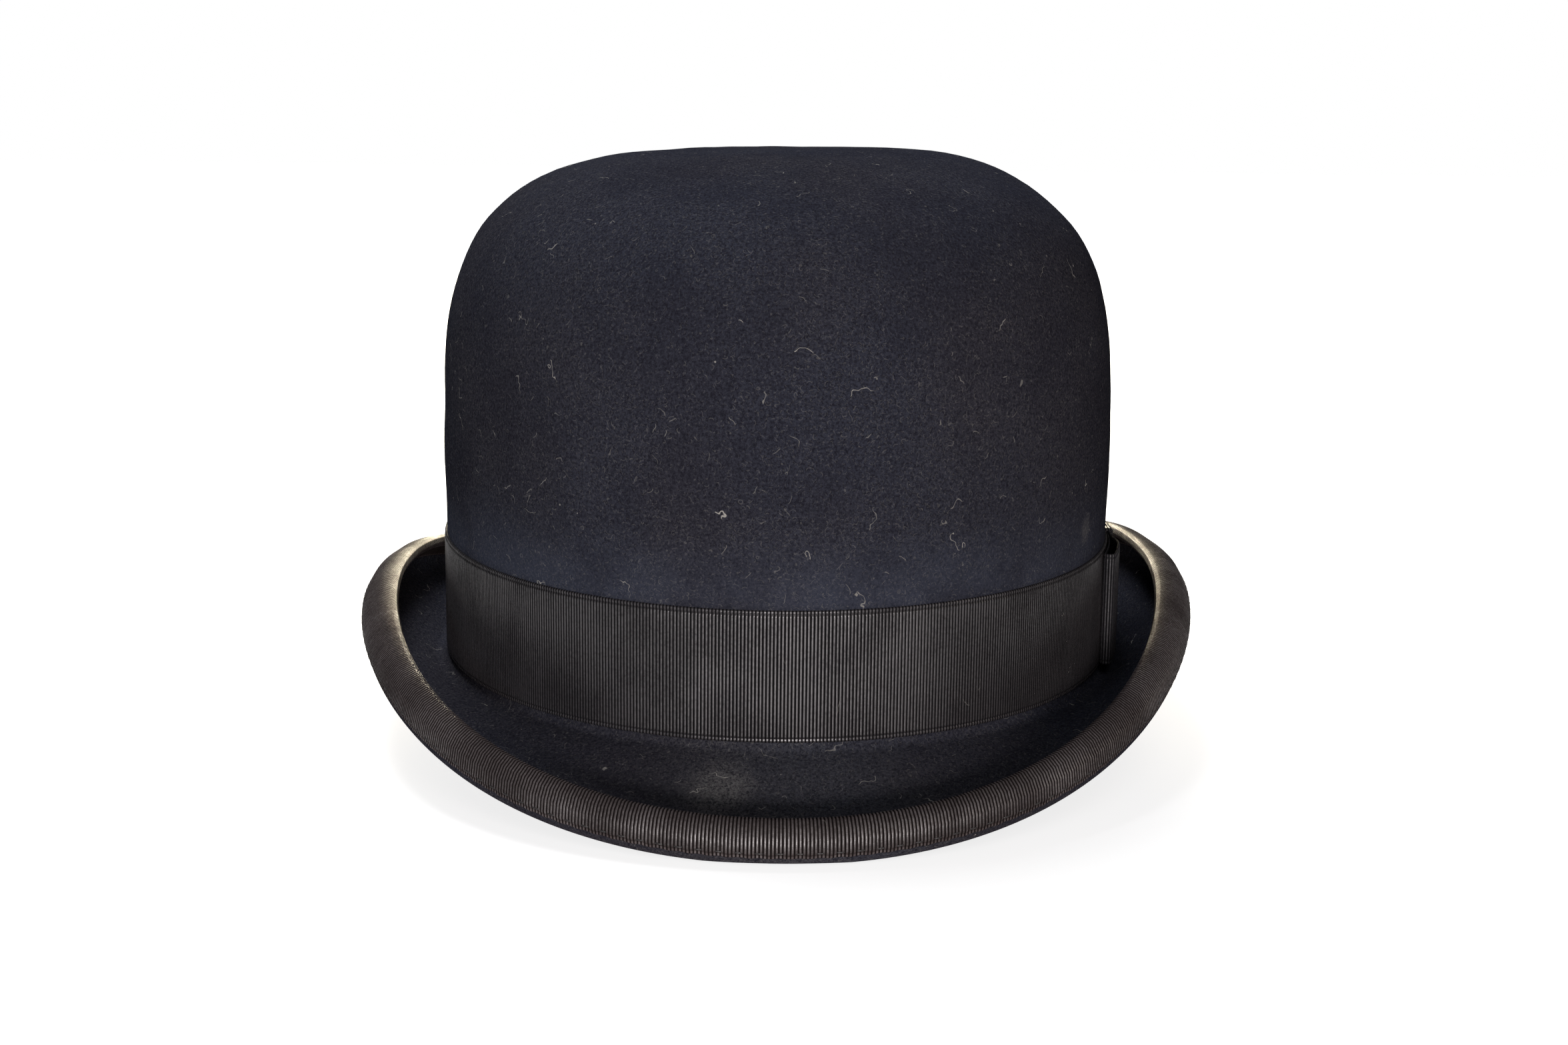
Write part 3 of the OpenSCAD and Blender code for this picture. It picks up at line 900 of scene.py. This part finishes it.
def threadMaterial(name, dark, light):
    material, tree, put = startMaterial(name, {"Specular IOR Level": 0.4, "Roughness": 0.42})
    place = addNode(tree, "TexCoord").outputs["Object"]
    grain = useGroup(tree, mottle, {"Vector": place, "Size": 0.4 * mm, "Contrast": 0.6})
    connect(tree, blendColours(tree, grain["Shade"], dark, light), put["Base Color"])
    inputs = {"Vector": place, "Scale": thread["ply"], "Distortion": 0.6}
    ply = addNode(tree, "TexWave", inputs, bands_direction="DIAGONAL").outputs["Fac"]
    roughen(tree, put, ply, 0.5, 0.06 * mm)
    return material


def bindingSeam(turn, above=0):
    centre, radius, end = brimCurl(turn)[:3]
    low = end - (outerWidth(turn) - binding["pucker"] - binding["stitchInset"]) / radius
    out = radius + seat + binding["thick"] - binding["stitchDepth"] + above
    return ovalPoint(turn, *polar(centre, out, low))


brimTurns = evenTurns(bindingEdge, stitchCount)[0][:-1]
brimStitches = stitchRow("brimStitches", bindingSeam, brimTurns, binding["stitch"])
finishPiece(brimStitches, threadMaterial("blackThread", *binding["thread"]))


# leather sweatband inside the foot of the crown, its ends meeting at the back

sweat = {
    "high": 48 * mm,
    "drop": 0.6 * mm,
    "thick": 1.1 * mm,
    "footDepth": 3.92 * mm,
    "topDepth": 2.82 * mm,
    "gap": 0.8 * mm,
    "columns": 300,
    "wave": 0.35 * mm,
    "waveSize": (6, 30 * mm),  # to the turn's unit circle, and in height
    "waveRise": 40 * mm,  # height from which the leather waves in full
    # height above the foot and lift off the inner face, from the rounded top to the fold over the reed
    "top": [(48, -0.75), (47.85, -0.3), (47.5, -0.06), (46.8, 0), (44.3, 0)],
    "pressedLine": [(43.8, -0.14), (43.5, -0.2), (43.2, -0.14), (42.7, 0)],
    "plainRows": 9,
    "foot": [
        (4.6, 0), (3.7, -0.09), (3.2, -0.18), (2.7, -0.09), (1.9, 0.03),
        (0.9, 0.06), (0.1, -0.02), (-0.4, -0.25), (-0.6, -0.6),
    ],
    "backMiddle": 20 * mm,
    "stitchHeight": 3.2 * mm,
    "stitchPitch": 3.0 * mm,
    "stitchDepth": 0.06 * mm,
    "stitch": (2.1 * mm, 0.34 * mm, 0.12 * mm),
    "thread": ((0.10, 0.06, 0.035, 1), (0.34, 0.24, 0.15, 1)),
    "dark": (0.105, 0.046, 0.021, 1),
    "light": (0.27, 0.142, 0.07, 1),
    "pore": (0.05, 0.022, 0.012, 1),
    "paler": (0.34, 0.21, 0.12, 1),
    "damp": (0.055, 0.024, 0.013, 1),
    "creases": 950.0,
}


def sweatDepth(height):
    share = (height + sweat["drop"]) / (sweat["high"] + sweat["drop"])
    return sweat["footDepth"] + (sweat["topDepth"] - sweat["footDepth"]) * share


def sweatPoint(turn, height, lift=0):  # on the inner face, or lifted off it towards the head
    return ovalPoint(turn, -sweatDepth(height) - sweat["thick"] - lift, crown["base"] + height)


def sweatRows():
    top, foot = sweat["top"] + sweat["pressedLine"], sweat["foot"]
    plain = [(z, 0) for z in spread(top[-1][0], foot[0][0], sweat["plainRows"])[1:-1]]
    return [(z * mm, lift * mm) for z, lift in top + plain + foot]


def sweatSection(turn):
    across, tall = sweat["waveSize"]
    section = []
    for height, lift in sweatRows():
        slack = noise.noise(Vector((across * math.cos(turn), across * math.sin(turn), height / tall))) + 0.4
        slack *= sweat["wave"] * eased(height / sweat["waveRise"])
        slack *= eased((sweat["high"] - height) / mm + 0.4)
        section.append(sweatPoint(turn, height, lift + max(slack, 0)))
    back = (-sweat["drop"], sweat["backMiddle"], sweat["high"])
    return section + [sweatPoint(turn, height, -sweat["thick"]) for height in back] + section[:1]


def acrossRows(sections):  # millimetres along the first section
    return [length / mm for length in lengthsAlong(sections[0])]


def leatherMaterial():
    material, tree, put = startMaterial("sweatLeather", {"Specular IOR Level": 0.38})
    chart = addNode(tree, "TexCoord").outputs
    place = chart["Object"]
    mottled = useGroup(tree, mottle, {"Vector": place, "Size": 5 * mm, "Contrast": 0.5})
    pores = useGroup(tree, mottle, {"Vector": place, "Size": 0.5 * mm, "Contrast": 0.7})
    cloud = noiseAt(tree, place, 22.0, 4.0)
    down = addNode(tree, "SeparateXYZ", {0: chart["UV"]}).outputs["Y"]  # millimetres from the top edge
    paler = times(tree, ramp(tree, down, 0.3, 2.2, 1.0, 0.0), ramp(tree, cloud, 0.35, 0.6, 0.15, 0.8))
    damp = times(tree, ramp(tree, down, 14.0, 46.0), ramp(tree, cloud, 0.3, 0.65, 0.25, 0.75))
    colour = blendColours(tree, mottled["Shade"], sweat["dark"], sweat["light"])
    colour = blendColours(tree, ramp(tree, pores["Shade"], 0.1, 0.4, 0.4, 0.0), colour, sweat["pore"])
    colour = blendColours(tree, paler, colour, sweat["paler"])
    colour = blendColours(tree, damp, colour, sweat["damp"])
    connect(tree, colour, put["Base Color"])
    connect(tree, ramp(tree, pores["Shade"], 0.0, 1.0, 0.62, 0.4), put["Roughness"])
    bend = scaled(tree, noiseAt(tree, place, 700.0, result="Color"), 0.5 * mm)
    inputs = {"Vector": vectorMaths(tree, "ADD", place, bend), "Scale": sweat["creases"]}
    cells = addNode(tree, "TexVoronoi", inputs, feature="DISTANCE_TO_EDGE").outputs["Distance"]
    height = sloped(tree, pores["Height"], 0.5, ramp(tree, cells, 0.0, 0.16))
    roughen(tree, put, height, 0.4, 0.14 * mm)
    return material


def sweatSeam(turn, above=0):
    return sweatPoint(turn, sweat["stitchHeight"], above - sweat["stitchDepth"])


sweatGap = sweat["gap"] / crown["width"]
sweatEnds = (backTurn + sweatGap, backTurn + 2 * pi - sweatGap)
sweatTurns, roundSweat = evenTurns(sweatSeam, sweat["columns"], *sweatEnds)
sweatSections = [sweatSection(turn) for turn in sweatTurns]
sweatband = gridPiece("leatherSweatband", sweatSections, roundSweat / mm, acrossRows(sweatSections))
closeEnds(sweatband)
finishPiece(sweatband, leatherMaterial(), ["sweatband"])

tanThread = threadMaterial("tanThread", *sweat["thread"])
footEnds = (backTurn + 3 * sweatGap, backTurn + 2 * pi - 3 * sweatGap)
footTurns = evenTurns(sweatSeam, round(roundSweat / sweat["stitchPitch"]), *footEnds)[0]
finishPiece(stitchRow("sweatStitches", sweatSeam, footTurns, sweat["stitch"]), tanThread)

backSeam = {
    "count": 18,
    "step": 2.4 * mm,
    "foot": 4.5 * mm,
    "bare": (8 * mm, 20 * mm),  # under the small bow
    "reach": 1.7 * mm,
    "lift": 0.08 * mm,
    "stitch": (4.1 * mm, 0.36 * mm, 0.16 * mm),
}


def seamStitches():  # a zigzag that draws the two ends of the sweatband together
    places = []
    step = backSeam["step"]
    reach = backSeam["reach"] / (crown["width"] / 2)
    for k in range(backSeam["count"]):
        height = backSeam["foot"] + step * k
        if backSeam["bare"][0] < height < backSeam["bare"][1]:
            continue
        side = 1 if k % 2 else -1
        left = sweatPoint(backTurn - side * reach, height - step / 2)
        right = sweatPoint(backTurn + side * reach, height + step / 2)
        middle = sweatPoint(backTurn, height, backSeam["lift"])
        places.append(stitchPlace(middle, right - left, sweatPoint(backTurn, height, mm) - middle))
    return copyAlong("sweatSeamStitches", threadStitch(*backSeam["stitch"]), places)


finishPiece(seamStitches(), tanThread)


# covered reed that stiffens the sweatband's lower edge

reed = {
    "radius": 0.8 * mm,
    "wrap": 2.2 * mm,
    "steps": 5,
    "sides": 10,
    "ridge": 0.08 * mm,
    "look": {
        "dark": (0.016, 0.016, 0.019, 1),
        "light": (0.05, 0.05, 0.056, 1),
        "roughness": 0.7,
        "weave": 0.35,
        "specular": 0.25,
    },
}
reedCentre = (-crown["thick"] - seat - reed["radius"], crown["base"] + reed["radius"])


def reedMiddle(turn):
    return ovalPoint(turn, *reedCentre)


def reedSection(turn, column):  # the wrapped tape winds round it
    section = []
    for angle in spread(0, 2 * pi, reed["sides"]):
        wind = 0.5 + 0.5 * math.cos(2 * pi * column / reed["steps"] - angle)
        section.append(ovalPoint(turn, *polar(reedCentre, reed["radius"] - reed["ridge"] * wind ** 3, angle)))
    return section


def wovenMaterial(name, look):
    material, tree, put = startMaterial(name, {"Specular IOR Level": look["specular"]})
    chart = addNode(tree, "TexCoord").outputs
    split = addNode(tree, "SeparateXYZ", {0: chart["UV"]}).outputs  # millimetres along and across
    grain = useGroup(tree, mottle, {"Vector": chart["Object"], "Size": 1.4 * mm, "Contrast": 0.45})
    cloud = noiseAt(tree, chart["Object"], 40.0, 3.0)
    turns = 2 * pi / look["weave"]
    warp = maths(tree, "SINE", times(tree, maths(tree, "ADD", split["X"], split["Y"]), turns))
    weft = maths(tree, "SINE", times(tree, split["Y"], turns * 1.7))
    shade = sloped(tree, warp, 0.13, ramp(tree, cloud, 0.3, 0.7, 0.1, 0.4))
    shade = sloped(tree, grain["Shade"], 0.5, shade)
    connect(tree, blendColours(tree, shade, look["dark"], look["light"]), put["Base Color"])
    rough = (look["roughness"] - 0.07, look["roughness"] + 0.09)
    connect(tree, ramp(tree, grain["Shade"], 0.0, 1.0, *rough), put["Roughness"])
    roughen(tree, put, sloped(tree, warp, 0.5, times(tree, weft, 0.35)), 0.3, 0.06 * mm)
    return material


roundReed = pathLength(reedMiddle)
reedTurns = evenTurns(reedMiddle, round(roundReed / reed["wrap"]) * reed["steps"])[0]
coveredReed = gridPiece(
    "coveredReed",
    [reedSection(turn, column) for column, turn in enumerate(reedTurns)],
    roundReed / mm,
    spread(0, 2 * pi * reed["radius"] / mm, reed["sides"]),
)
finishPiece(coveredReed, wovenMaterial("reedTape", reed["look"]), ["sweatband_reed"])


# tape behind the sweatband's seam

tape = {
    "width": 16 * mm,
    "thick": 0.3 * mm,
    "foot": 1.66 * mm,
    "head": 31.94 * mm,
    "columns": 20,
    "rows": 12,
    "look": {
        "dark": (0.008, 0.008, 0.01, 1),
        "light": (0.026, 0.026, 0.03, 1),
        "roughness": 0.6,
        "weave": 0.6,
        "specular": 0.3,
    },
}
tapeReach = tape["width"] / crown["width"]


def tapeSection(turn):
    inner = [(z, -sweatDepth(z) + seat) for z in spread(tape["head"], tape["foot"], tape["rows"])]
    outer = [(z, out + tape["thick"]) for z, out in reversed(inner)]
    return [ovalPoint(turn, out, crown["base"] + z) for z, out in inner + outer + inner[:1]]


tapeTall = (tape["head"] - tape["foot"]) / mm
acrossTape = spread(0, tapeTall, tape["rows"]) + spread(tapeTall, 0, tape["rows"]) + [0]
tapeTurns = spread(backTurn - tapeReach, backTurn + tapeReach, tape["columns"])
seamTape = gridPiece("seamTape", [tapeSection(turn) for turn in tapeTurns], tape["width"] / mm, acrossTape)
closeEnds(seamTape)
finishPiece(seamTape, wovenMaterial("seamTapeWeave", tape["look"]), ["sweatband_seam_tape"])


# small satin bow over the sweatband's seam

smallBow = {
    "length": 26 * mm,
    "height": 6 * mm,
    "foot": 12 * mm,
    "puff": 2.4 * mm,
    "thick": 0.4 * mm,
    "thinEdge": (0.7, 0.6 * mm),  # of the thickness, and how far in
    "knot": 4 * mm,
    "off": 0.2 * mm,
    "droop": 0.9 * mm,
    "rows": [z * mm for z in (0, 0.2, 0.6, 1.4, 3, 4.6, 5.4, 5.8, 6)],
    "look": {
        "dark": (0.006, 0.006, 0.007, 1),
        "light": (0.022, 0.022, 0.026, 1),
        "roughness": 0.32,
        "weave": 0.3,
        "specular": 0.5,
    },
}
smallStrap = {
    "length": smallBow["knot"],
    "round": 0.5 * mm,
    "thick": smallBow["thick"],
    "pleat": 0.12 * mm,
    "cord": 0,
}


def satinLift(inset, column, thick):  # a plain face with a thin edge
    thin, reach = smallBow["thinEdge"]
    return thick * (thin + (1 - thin) * eased(inset / reach))


def sweatWall(side):
    def point(along, lift, z):
        turn = backTurn + side * along / (crown["width"] / 2)
        depth = sweatDepth(smallBow["foot"]) + sweat["thick"] + smallBow["off"]
        droop = 0
        if abs(along) > smallBow["knot"] / 2:  # the loops hang a little
            droop = smallBow["droop"] * (along / (smallBow["length"] / 2)) ** 2
        return ovalPoint(turn, -depth - lift, crown["base"] + smallBow["foot"] + z - droop)
    return point


thin = smallBow["thick"]
smallPinch = 2 * thin + seat
smallPath = loopPath(seat, smallBow["length"] / 2, smallBow["puff"], smallPinch, smallBow["knot"] / 2)
smallParts = []
for side in (-1, 1):
    wall = sweatWall(side)
    smallParts.append(loopPiece("smallLoop", smallPath, smallBow["rows"], thin, satinLift, wall, side < 0)[0])
smallEnds = (-thin, smallBow["height"] + thin)
smallKnot = strapPiece("smallKnot", smallStrap, smallPinch + thin, *smallEnds, sweatWall(1), False)[0]
satinBow = joinPieces("sweatbandBow", [smallKnot] + smallParts)
finishPiece(satinBow, wovenMaterial("smallRibbonSatin", smallBow["look"]), ["sweatband_bow"])


# satin lining: a gathered strip round the wall and an oval that closes the top

lining = {
    "thick": 0.5 * mm,
    "sideDepth": 2.76 * mm,  # of the face that shows, in from the outside of the crown
    "tipDepth": 3.32 * mm,
    "foot": 32 * mm,
    "sideTop": math.radians(60),
    "seam": math.radians(52.5),
    "domeRows": 30,
    "wallRows": 8,
    "pleats": 64,
    "steps": 10,  # columns to a pleat
    "fold": 1.3 * mm,
    "wrinkle": 0.5 * mm,
    "wrinkleSize": (5, 2.2),  # to the turn's unit circle, and from the seam to the foot
    "seed": 7,
    "tipColumns": 480,
    "tipRows": 26,
    "puckers": 96,
    "pucker": 0.28 * mm,
    "puckerReach": math.radians(9),
    "puckerStart": math.radians(1.5),
    "stitchRise": math.radians(1.2),
    "stitchPitch": 3.2 * mm,
    "stitch": (1.8 * mm, 0.3 * mm, 0.1 * mm),
    "thread": ((0.012, 0.012, 0.014, 1), (0.045, 0.045, 0.05, 1)),
    "look": {
        "dark": (0.007, 0.007, 0.009, 1),
        "light": (0.028, 0.028, 0.034, 1),
        "roughness": 0.36,
        "weave": 0.34,
        "specular": 0.5,
    },
}
draw = random.Random(lining["seed"])
pleatDepths = [0.45 + 0.55 * draw.random() for k in range(lining["pleats"])]
pleatReaches = [0.55 + 0.45 * draw.random() for k in range(lining["pleats"])]


def liningPoint(turn, rise, depth, down=0):  # rise 0 is where the wall ends, and down goes on from there
    if rise > 0:
        return domePoint(turn, rise, depth)
    return ovalPoint(turn, -depth, crown["base"] + crown["wall"] - down)


def wallPoint(turn):
    return liningPoint(turn, 0, lining["sideDepth"])


def pleatFold(column, below):  # below is 0 at the seam and 1 at the foot
    k, part = divmod(column, lining["steps"])
    k %= lining["pleats"]
    knife = math.sin(pi * (part / lining["steps"]) ** 0.6) ** 1.5
    return knife * pleatDepths[k] * eased(below / 0.1) * (1 - eased(below / pleatReaches[k]))


def liningSection(turn, column):
    section = []
    spots = [(rise, 0) for rise in spread(lining["sideTop"], 0, lining["domeRows"])]
    spots += [(0, down) for down in spread(0, crown["wall"] - lining["foot"], lining["wallRows"])[1:]]
    seamRow = next(k for k, spot in enumerate(spots) if spot[0] <= lining["seam"] - math.radians(1))
    across, tall = lining["wrinkleSize"]
    for k, (rise, down) in enumerate(spots):
        below = max(k - seamRow, 0) / (len(spots) - 1 - seamRow)
        fold = lining["fold"] * pleatFold(column, below)
        wave = noise.noise(Vector((across * math.cos(turn), across * math.sin(turn), tall * below)))
        slack = max(wave + 0.25, 0) * eased(below / 0.2) * eased((1 - below) / 0.25)
        section.append(liningPoint(turn, rise, lining["sideDepth"] + fold + lining["wrinkle"] * slack, down))
    return section


liningTurns = spread(0, 2 * pi, lining["pleats"] * lining["steps"])
liningSections = [liningSection(turn, column) for column, turn in enumerate(liningTurns)]
acrossLining = acrossRows(liningSections)
roundLining = pathLength(wallPoint)
liningSatin = wovenMaterial("liningSatin", lining["look"])
liningSide = gridPiece("liningSide", liningSections, roundLining / mm, acrossLining)
thicken(liningSide, lining["thick"])
finishPiece(liningSide, liningSatin, ["lining_side"])


def tipSection(turn):
    section = []
    for rise in spread(pi / 2, lining["seam"], lining["tipRows"]):
        over = rise - lining["seam"]
        near = eased(1 - over / lining["puckerReach"])
        pucker = lining["pucker"] * near * (0.5 + 0.5 * math.sin(turn * lining["puckers"]))
        pucker *= eased(over / lining["puckerStart"])
        section.append(domePoint(turn, rise, lining["tipDepth"] + pucker))
    return section


def tipSeam(turn, above=0):
    return domePoint(turn, lining["seam"] + lining["stitchRise"], lining["tipDepth"] + above)


tipSections = [tipSection(turn) for turn in spread(0, 2 * pi, lining["tipColumns"])]
tipFlat = [2 * lengthsAlong(tipSections[k])[-1] for k in (0, lining["tipColumns"] // 4)]
liningTip = gridPiece("liningTip", tipSections)
thicken(liningTip, lining["thick"])
chartFromAbove(liningTip)
finishPiece(liningTip, liningSatin, ["lining_tip"])

tipTurns = evenTurns(tipSeam, round(pathLength(tipSeam) / lining["stitchPitch"]))[0][:-1]
tipStitches = stitchRow("liningStitches", tipSeam, tipTurns, lining["stitch"])
finishPiece(tipStitches, threadMaterial("liningThread", *lining["thread"]))


# studio

studio = {
    "target": Vector((2.1 * mm, 0, 46.5 * mm)),
    "distance": 605.5 * mm,
    "azimuth": math.radians(-1.154),
    "elevation": math.radians(11.468),
    "roll": math.radians(0.70),
    "lens": 52.4,
    "sensor": 36,
    "floor": 6.0,
    "white": (1, 1, 1, 1),
    "ambient": (0.10, 0.10, 0.11, 1),
    "floorColour": (0.36, 0.35, 0.34, 1),
    "mirrored": 0.12,  # how much of the white shows in glossy cloth
    "glow": (0.78, 1.0),  # the floor's own white, near the hat and far from it
    "glowReach": (0.15, 0.75),
    # what it lights, place, aim, width and height in metres, watts, colour
    "lamps": {
        "frontWindow": ("all", (0.04, -1.45, 0.12), (0, 0, 0.06), (0.36, 0.2), 19.5, (1.0, 0.93, 0.93)),
        "frontHigh": ("all", (0.1, -1.0, 0.9), (0, -0.05, 0.04), (0.6, 0.6), 3.2, (1.0, 0.98, 0.98)),
        "coolLeft": ("matt", (-0.85, -1.15, 0.22), (0, 0, 0.06), (0.4, 0.3), 2.9, (0.6, 0.84, 1.0)),
        "warmRight": ("matt", (1.15, -0.35, 0.3), (0, 0, 0.05), (0.3, 0.3), 0.4, (1.0, 0.86, 0.66)),
        "warmGlint": ("shiny", (1.1, -0.5, 0.45), (0, 0, 0.03), (0.3, 0.3), 1.5, (1.0, 0.88, 0.72)),
        "backWindow": ("shiny", (-0.06, 1.25, 0.22), (0, 0.05, 0.03), (0.45, 0.24), 48, (1.0, 0.88, 0.65)),
        "backHigh": ("shiny", (-0.05, 1.0, 0.85), (0, 0.05, 0.03), (0.4, 0.2), 9, (1.0, 0.86, 0.6)),
        "fromBelow": ("matt", (0, 0, -0.8), (0, 0, 0), (0.5, 0.5), 8, (1.0, 0.88, 0.85)),
        "skylight": ("matt", (-0.25, 0.6, 1.2), (0, 0, 0.14), (0.6, 0.6), 27, (0.92, 0.95, 1.0)),
    },
}


def addCamera():
    a, e, roll = studio["azimuth"], studio["elevation"], studio["roll"]
    back = Vector((math.sin(a) * math.cos(e), -math.cos(a) * math.cos(e), math.sin(e)))
    right = Vector((math.cos(a), math.sin(a), 0))
    right = right * math.cos(roll) + back.cross(right) * math.sin(roll)
    bpy.ops.object.camera_add()
    camera = bpy.context.active_object
    turned = Matrix((right, back.cross(right), back)).transposed().to_4x4()
    turned.translation = studio["target"] + back * studio["distance"]
    camera.matrix_world = turned
    camera.data.lens = studio["lens"]
    camera.data.sensor_width = studio["sensor"]
    bpy.context.scene.camera = camera


def addLamp(name, lights, place, aim, size, watts, colour):
    bpy.ops.object.light_add(type="AREA", location=place)
    lamp = bpy.context.active_object
    lamp.name = name
    lamp.rotation_euler = (Vector(aim) - Vector(place)).to_track_quat("-Z", "Y").to_euler()
    lamp.data.shape = "RECTANGLE"
    lamp.data.size, lamp.data.size_y = size
    lamp.data.energy = watts
    lamp.data.color = colour
    lamp.visible_diffuse, lamp.visible_glossy = lights != "shiny", lights != "matt"


def whiteShare(tree):  # rays that see the white ground: all from the camera and some from glossy cloth
    path = addNode(tree, "LightPath").outputs
    direct = maths(tree, "MAXIMUM", path["Is Camera Ray"], path["Is Transmission Ray"])
    return maths(tree, "MAXIMUM", direct, times(tree, path["Is Glossy Ray"], studio["mirrored"]))


def addFloor():
    bpy.ops.object.select_all(action="DESELECT")
    bpy.ops.mesh.primitive_plane_add(size=studio["floor"])
    floor = bpy.context.active_object
    floor.name = "studioFloor"
    uniform = {"Roughness": 0.9, "Base Color": studio["floorColour"], "Emission Color": studio["white"]}
    material, tree, put = startMaterial("paleFloor", uniform)
    away = vectorMaths(tree, "LENGTH", addNode(tree, "TexCoord").outputs["Object"], result="Value")
    glow = ramp(tree, away, *studio["glowReach"], *studio["glow"])
    connect(tree, times(tree, whiteShare(tree), glow), put["Emission Strength"])
    behind = addNode(tree, "NewGeometry").outputs["Backfacing"]
    letThrough = maths(tree, "MAXIMUM", behind, addNode(tree, "LightPath").outputs["Is Shadow Ray"])
    # the hat is seen and lit from below
    connect(tree, maths(tree, "SUBTRACT", 1.0, letThrough), put["Alpha"])
    floor.data.materials.append(material)


def lightWorld():
    world = bpy.data.worlds.new("studioWorld")
    bpy.context.scene.world = world
    world.use_nodes = True
    tree = world.node_tree
    colour = blendColours(tree, whiteShare(tree), studio["ambient"], studio["white"])
    connect(tree, colour, tree.nodes["Background"].inputs["Color"])


addCamera()
addFloor()
lightWorld()
for name, lamp in studio["lamps"].items():
    addLamp(name, *lamp)
bpy.context.scene.view_settings.view_transform = "Standard"
print("studio: camera, floor and lamps")
